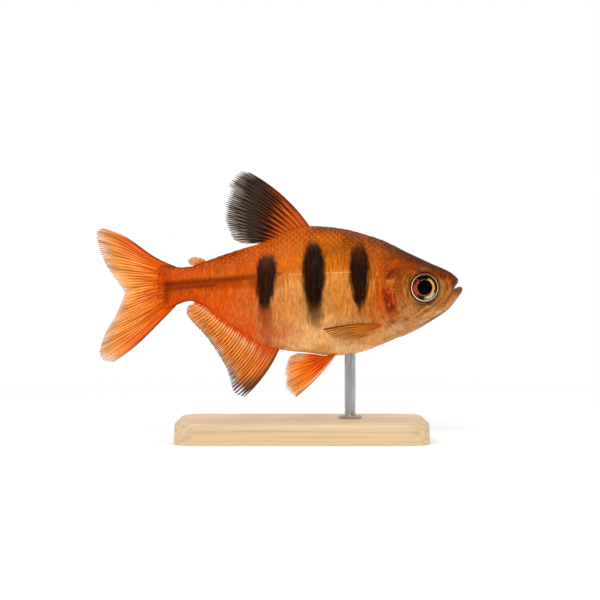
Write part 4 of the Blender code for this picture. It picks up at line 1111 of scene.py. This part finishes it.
make_fin(
    "tail_fin_web", ["caudal_fin_upper", "caudal_fin_lower"], tail, tail_root,
    ((-24.2, 29.0), (-25.1, 28.5), (-24.88, 26.9), (-24.0, 24.45), (-22.72, 22.35), (-21.38, 20.5), (-21.38, 19.7),
     (-22.5, 17.05), (-23.92, 14.6), (-24.68, 12.4), (-24.25, 11.0), (-22.75, 10.7)), 20, (0.15, 0.0, -0.36),
    upright(0.3, 3.0, 2.0), ray=0.1, sink=0.9, splits=(0.2, 0.66), fray=0.02, sway=(0.28, 0.08), columns=24, seed=4)

adipose = fin_paint(
    "adipose_flesh", web=((0.0, (210, 92, 14)), (0.4, (234, 144, 76)), (1.0, (244, 180, 126))),
    ray=((0.0, (210, 92, 14)), (1.0, (244, 180, 126))), grain=6.0, solid=0.85, fringe=(0.8, 1.1))
make_fin(
    "adipose_fin_lobe", ["adipose_fin"], adipose, root_line(BACK, -11.6, -10.2, -0.1)[::-1],
    ((-10.3, 24.75), (-10.9, 24.95), (-11.6, 25.08), (-12.25, 24.95), (-12.6, 24.5), (-12.3, 24.0)), 3, (0.0, 0.0),
    upright(0.05, 1.0, 0.0), ray=0.2, web=0.17, fray=0.0, sink=0.4, columns=12, rows=14, seed=5)

pelvic = fin_paint(
    "pelvic_web",
    web=((0.0, (208, 88, 2)), (0.3, (212, 54, 0)), (0.6, (234, 96, 2)), (1.0, (246, 168, 84))),
    ray=((0.0, (222, 100, 6)), (0.3, (248, 112, 20)), (0.6, (255, 156, 50)), (0.84, (252, 168, 80)),
         (1.0, (216, 154, 100))),
    marks=((0.6, 0.92, 0.4, 0.75, 0.7, (252, 198, 148)), (0.11, 0.06, -0.2, 0.05, 0.85, (255, 186, 134)),
           (0.04, 0.015, -0.2, 0.1, 0.85, (150, 76, 40))),
    core=(0.4, 0.95), grain=22.0, fringe=(0.74, 1.0), hold=0.6)
pectoral = fin_paint(
    "pectoral_web", web=((0.0, (206, 96, 14)), (0.4, (220, 130, 34)), (1.0, (236, 172, 94))),
    ray=((0.0, (204, 92, 8)), (0.35, (176, 84, 8)), (0.6, (120, 52, 2)), (1.0, (128, 64, 12))),
    marks=((0.08, 0.03, 0.0, 0.16, 0.85, (118, 44, 0)), (0.5, 0.9, 0.5, 0.2, 0.5, (232, 164, 100))),
    core=(0.25, 0.7), grain=14.0, solid=0.6, fringe=(0.75, 1.1))
for side, word in SIDES:
    make_fin(
        "pelvic_fin_web_" + word, ["pelvic_fin_" + word], pelvic,
        [(x, body_at(x)[BELLY] - 0.05) for x in (7.5, 6.65, 5.8)],
        ((2.0, 5.85), (1.2, 6.5), (0.72, 7.5), (0.66, 8.9), (0.78, 10.2), (1.15, 11.3), (2.2, 11.8)), 10, (-0.3, 0.1),
        lambda x, z, u: side * (0.8 + 1.5 * u * u), ray=0.09, sink=0.45, splits=(0.3, 0.75), fray=0.05, seed=6)
    make_fin(
        "pectoral_fin_web_" + word, ["pectoral_fin_" + word], pectoral,
        ((13.45, 15.88), (13.15, 15.42), (12.8, 15.0)),
        ((5.9, 15.3), (6.1, 14.9), (6.9, 14.3), (8.3, 13.8), (9.8, 13.75), (11.0, 14.1)), 9, (0.3, -0.2),
        lambda x, z, u: side * (flank(x, z) + 0.1 + 0.5 * u + 0.7 * u * u),
        ray=0.06, sink=0.5, splits=(0.45, 1.4), fray=0.04, seed=7)


# Display stand. A bevelled block of pale wood, and a brushed steel rod that stands in it on a small washer and ends
# inside the belly.
wood = Paint("pale_wood")
wood_grain = wood.noise(wood.mapped(wood.place(), (0.022, 1.0, 1.0)), 1900.0, 4.0)
wood.finish({
    "Base Color": wood.ladder(wood_grain, (0.3, (204, 172, 130)), (0.5, (222, 192, 150)), (0.7, (230, 204, 164))),
    "Normal": wood.value("Bump", {"Height": wood_grain, "Strength": 0.25, "Distance": 0.05 * MM}), "Roughness": 0.5,
})
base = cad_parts["stand_base"]
base.data.materials.clear()
base.data.materials.append(wood.material)

steel = Paint("brushed_steel")
steel_brush = steel.noise(steel.mapped(steel.place(), (1.0, 1.0, 0.05)), 9000.0)
steel.finish({
    "Base Color": steel.ladder(steel_brush, (0.3, (176, 178, 182)), (0.7, (206, 208, 210))),
    "Roughness": steel.graded(steel_brush, to_low=0.24, to_high=0.42), "Metallic": 1.0,
})
ROD_X, ROD_RADIUS, ROD_FOOT, ROD_TOP = 9.6, 0.75, 2.4, 12.4
ROD_STEPS = 40
rod_rings = []
for radius, height in (
    (0.7, ROD_FOOT), (ROD_RADIUS, ROD_FOOT + 0.05), (ROD_RADIUS, 3.0), (1.5, 3.01), (1.6, 3.1), (1.6, 3.3), (1.5, 3.4),
    (0.95, 3.42), (ROD_RADIUS, 3.55), (ROD_RADIUS, ROD_TOP),
):
    rod_rings.append(round_ring(Vector((ROD_X, 0, height)), Vector((1, 0, 0)), Vector((0, 1, 0)), radius, ROD_STEPS))
rod = show("stand_rod_steel", loft(rod_rings), steel)
rod.data.set_sharp_from_angle(angle=math.radians(40))
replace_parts(rod, "stand_rod")
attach(rod, "root")
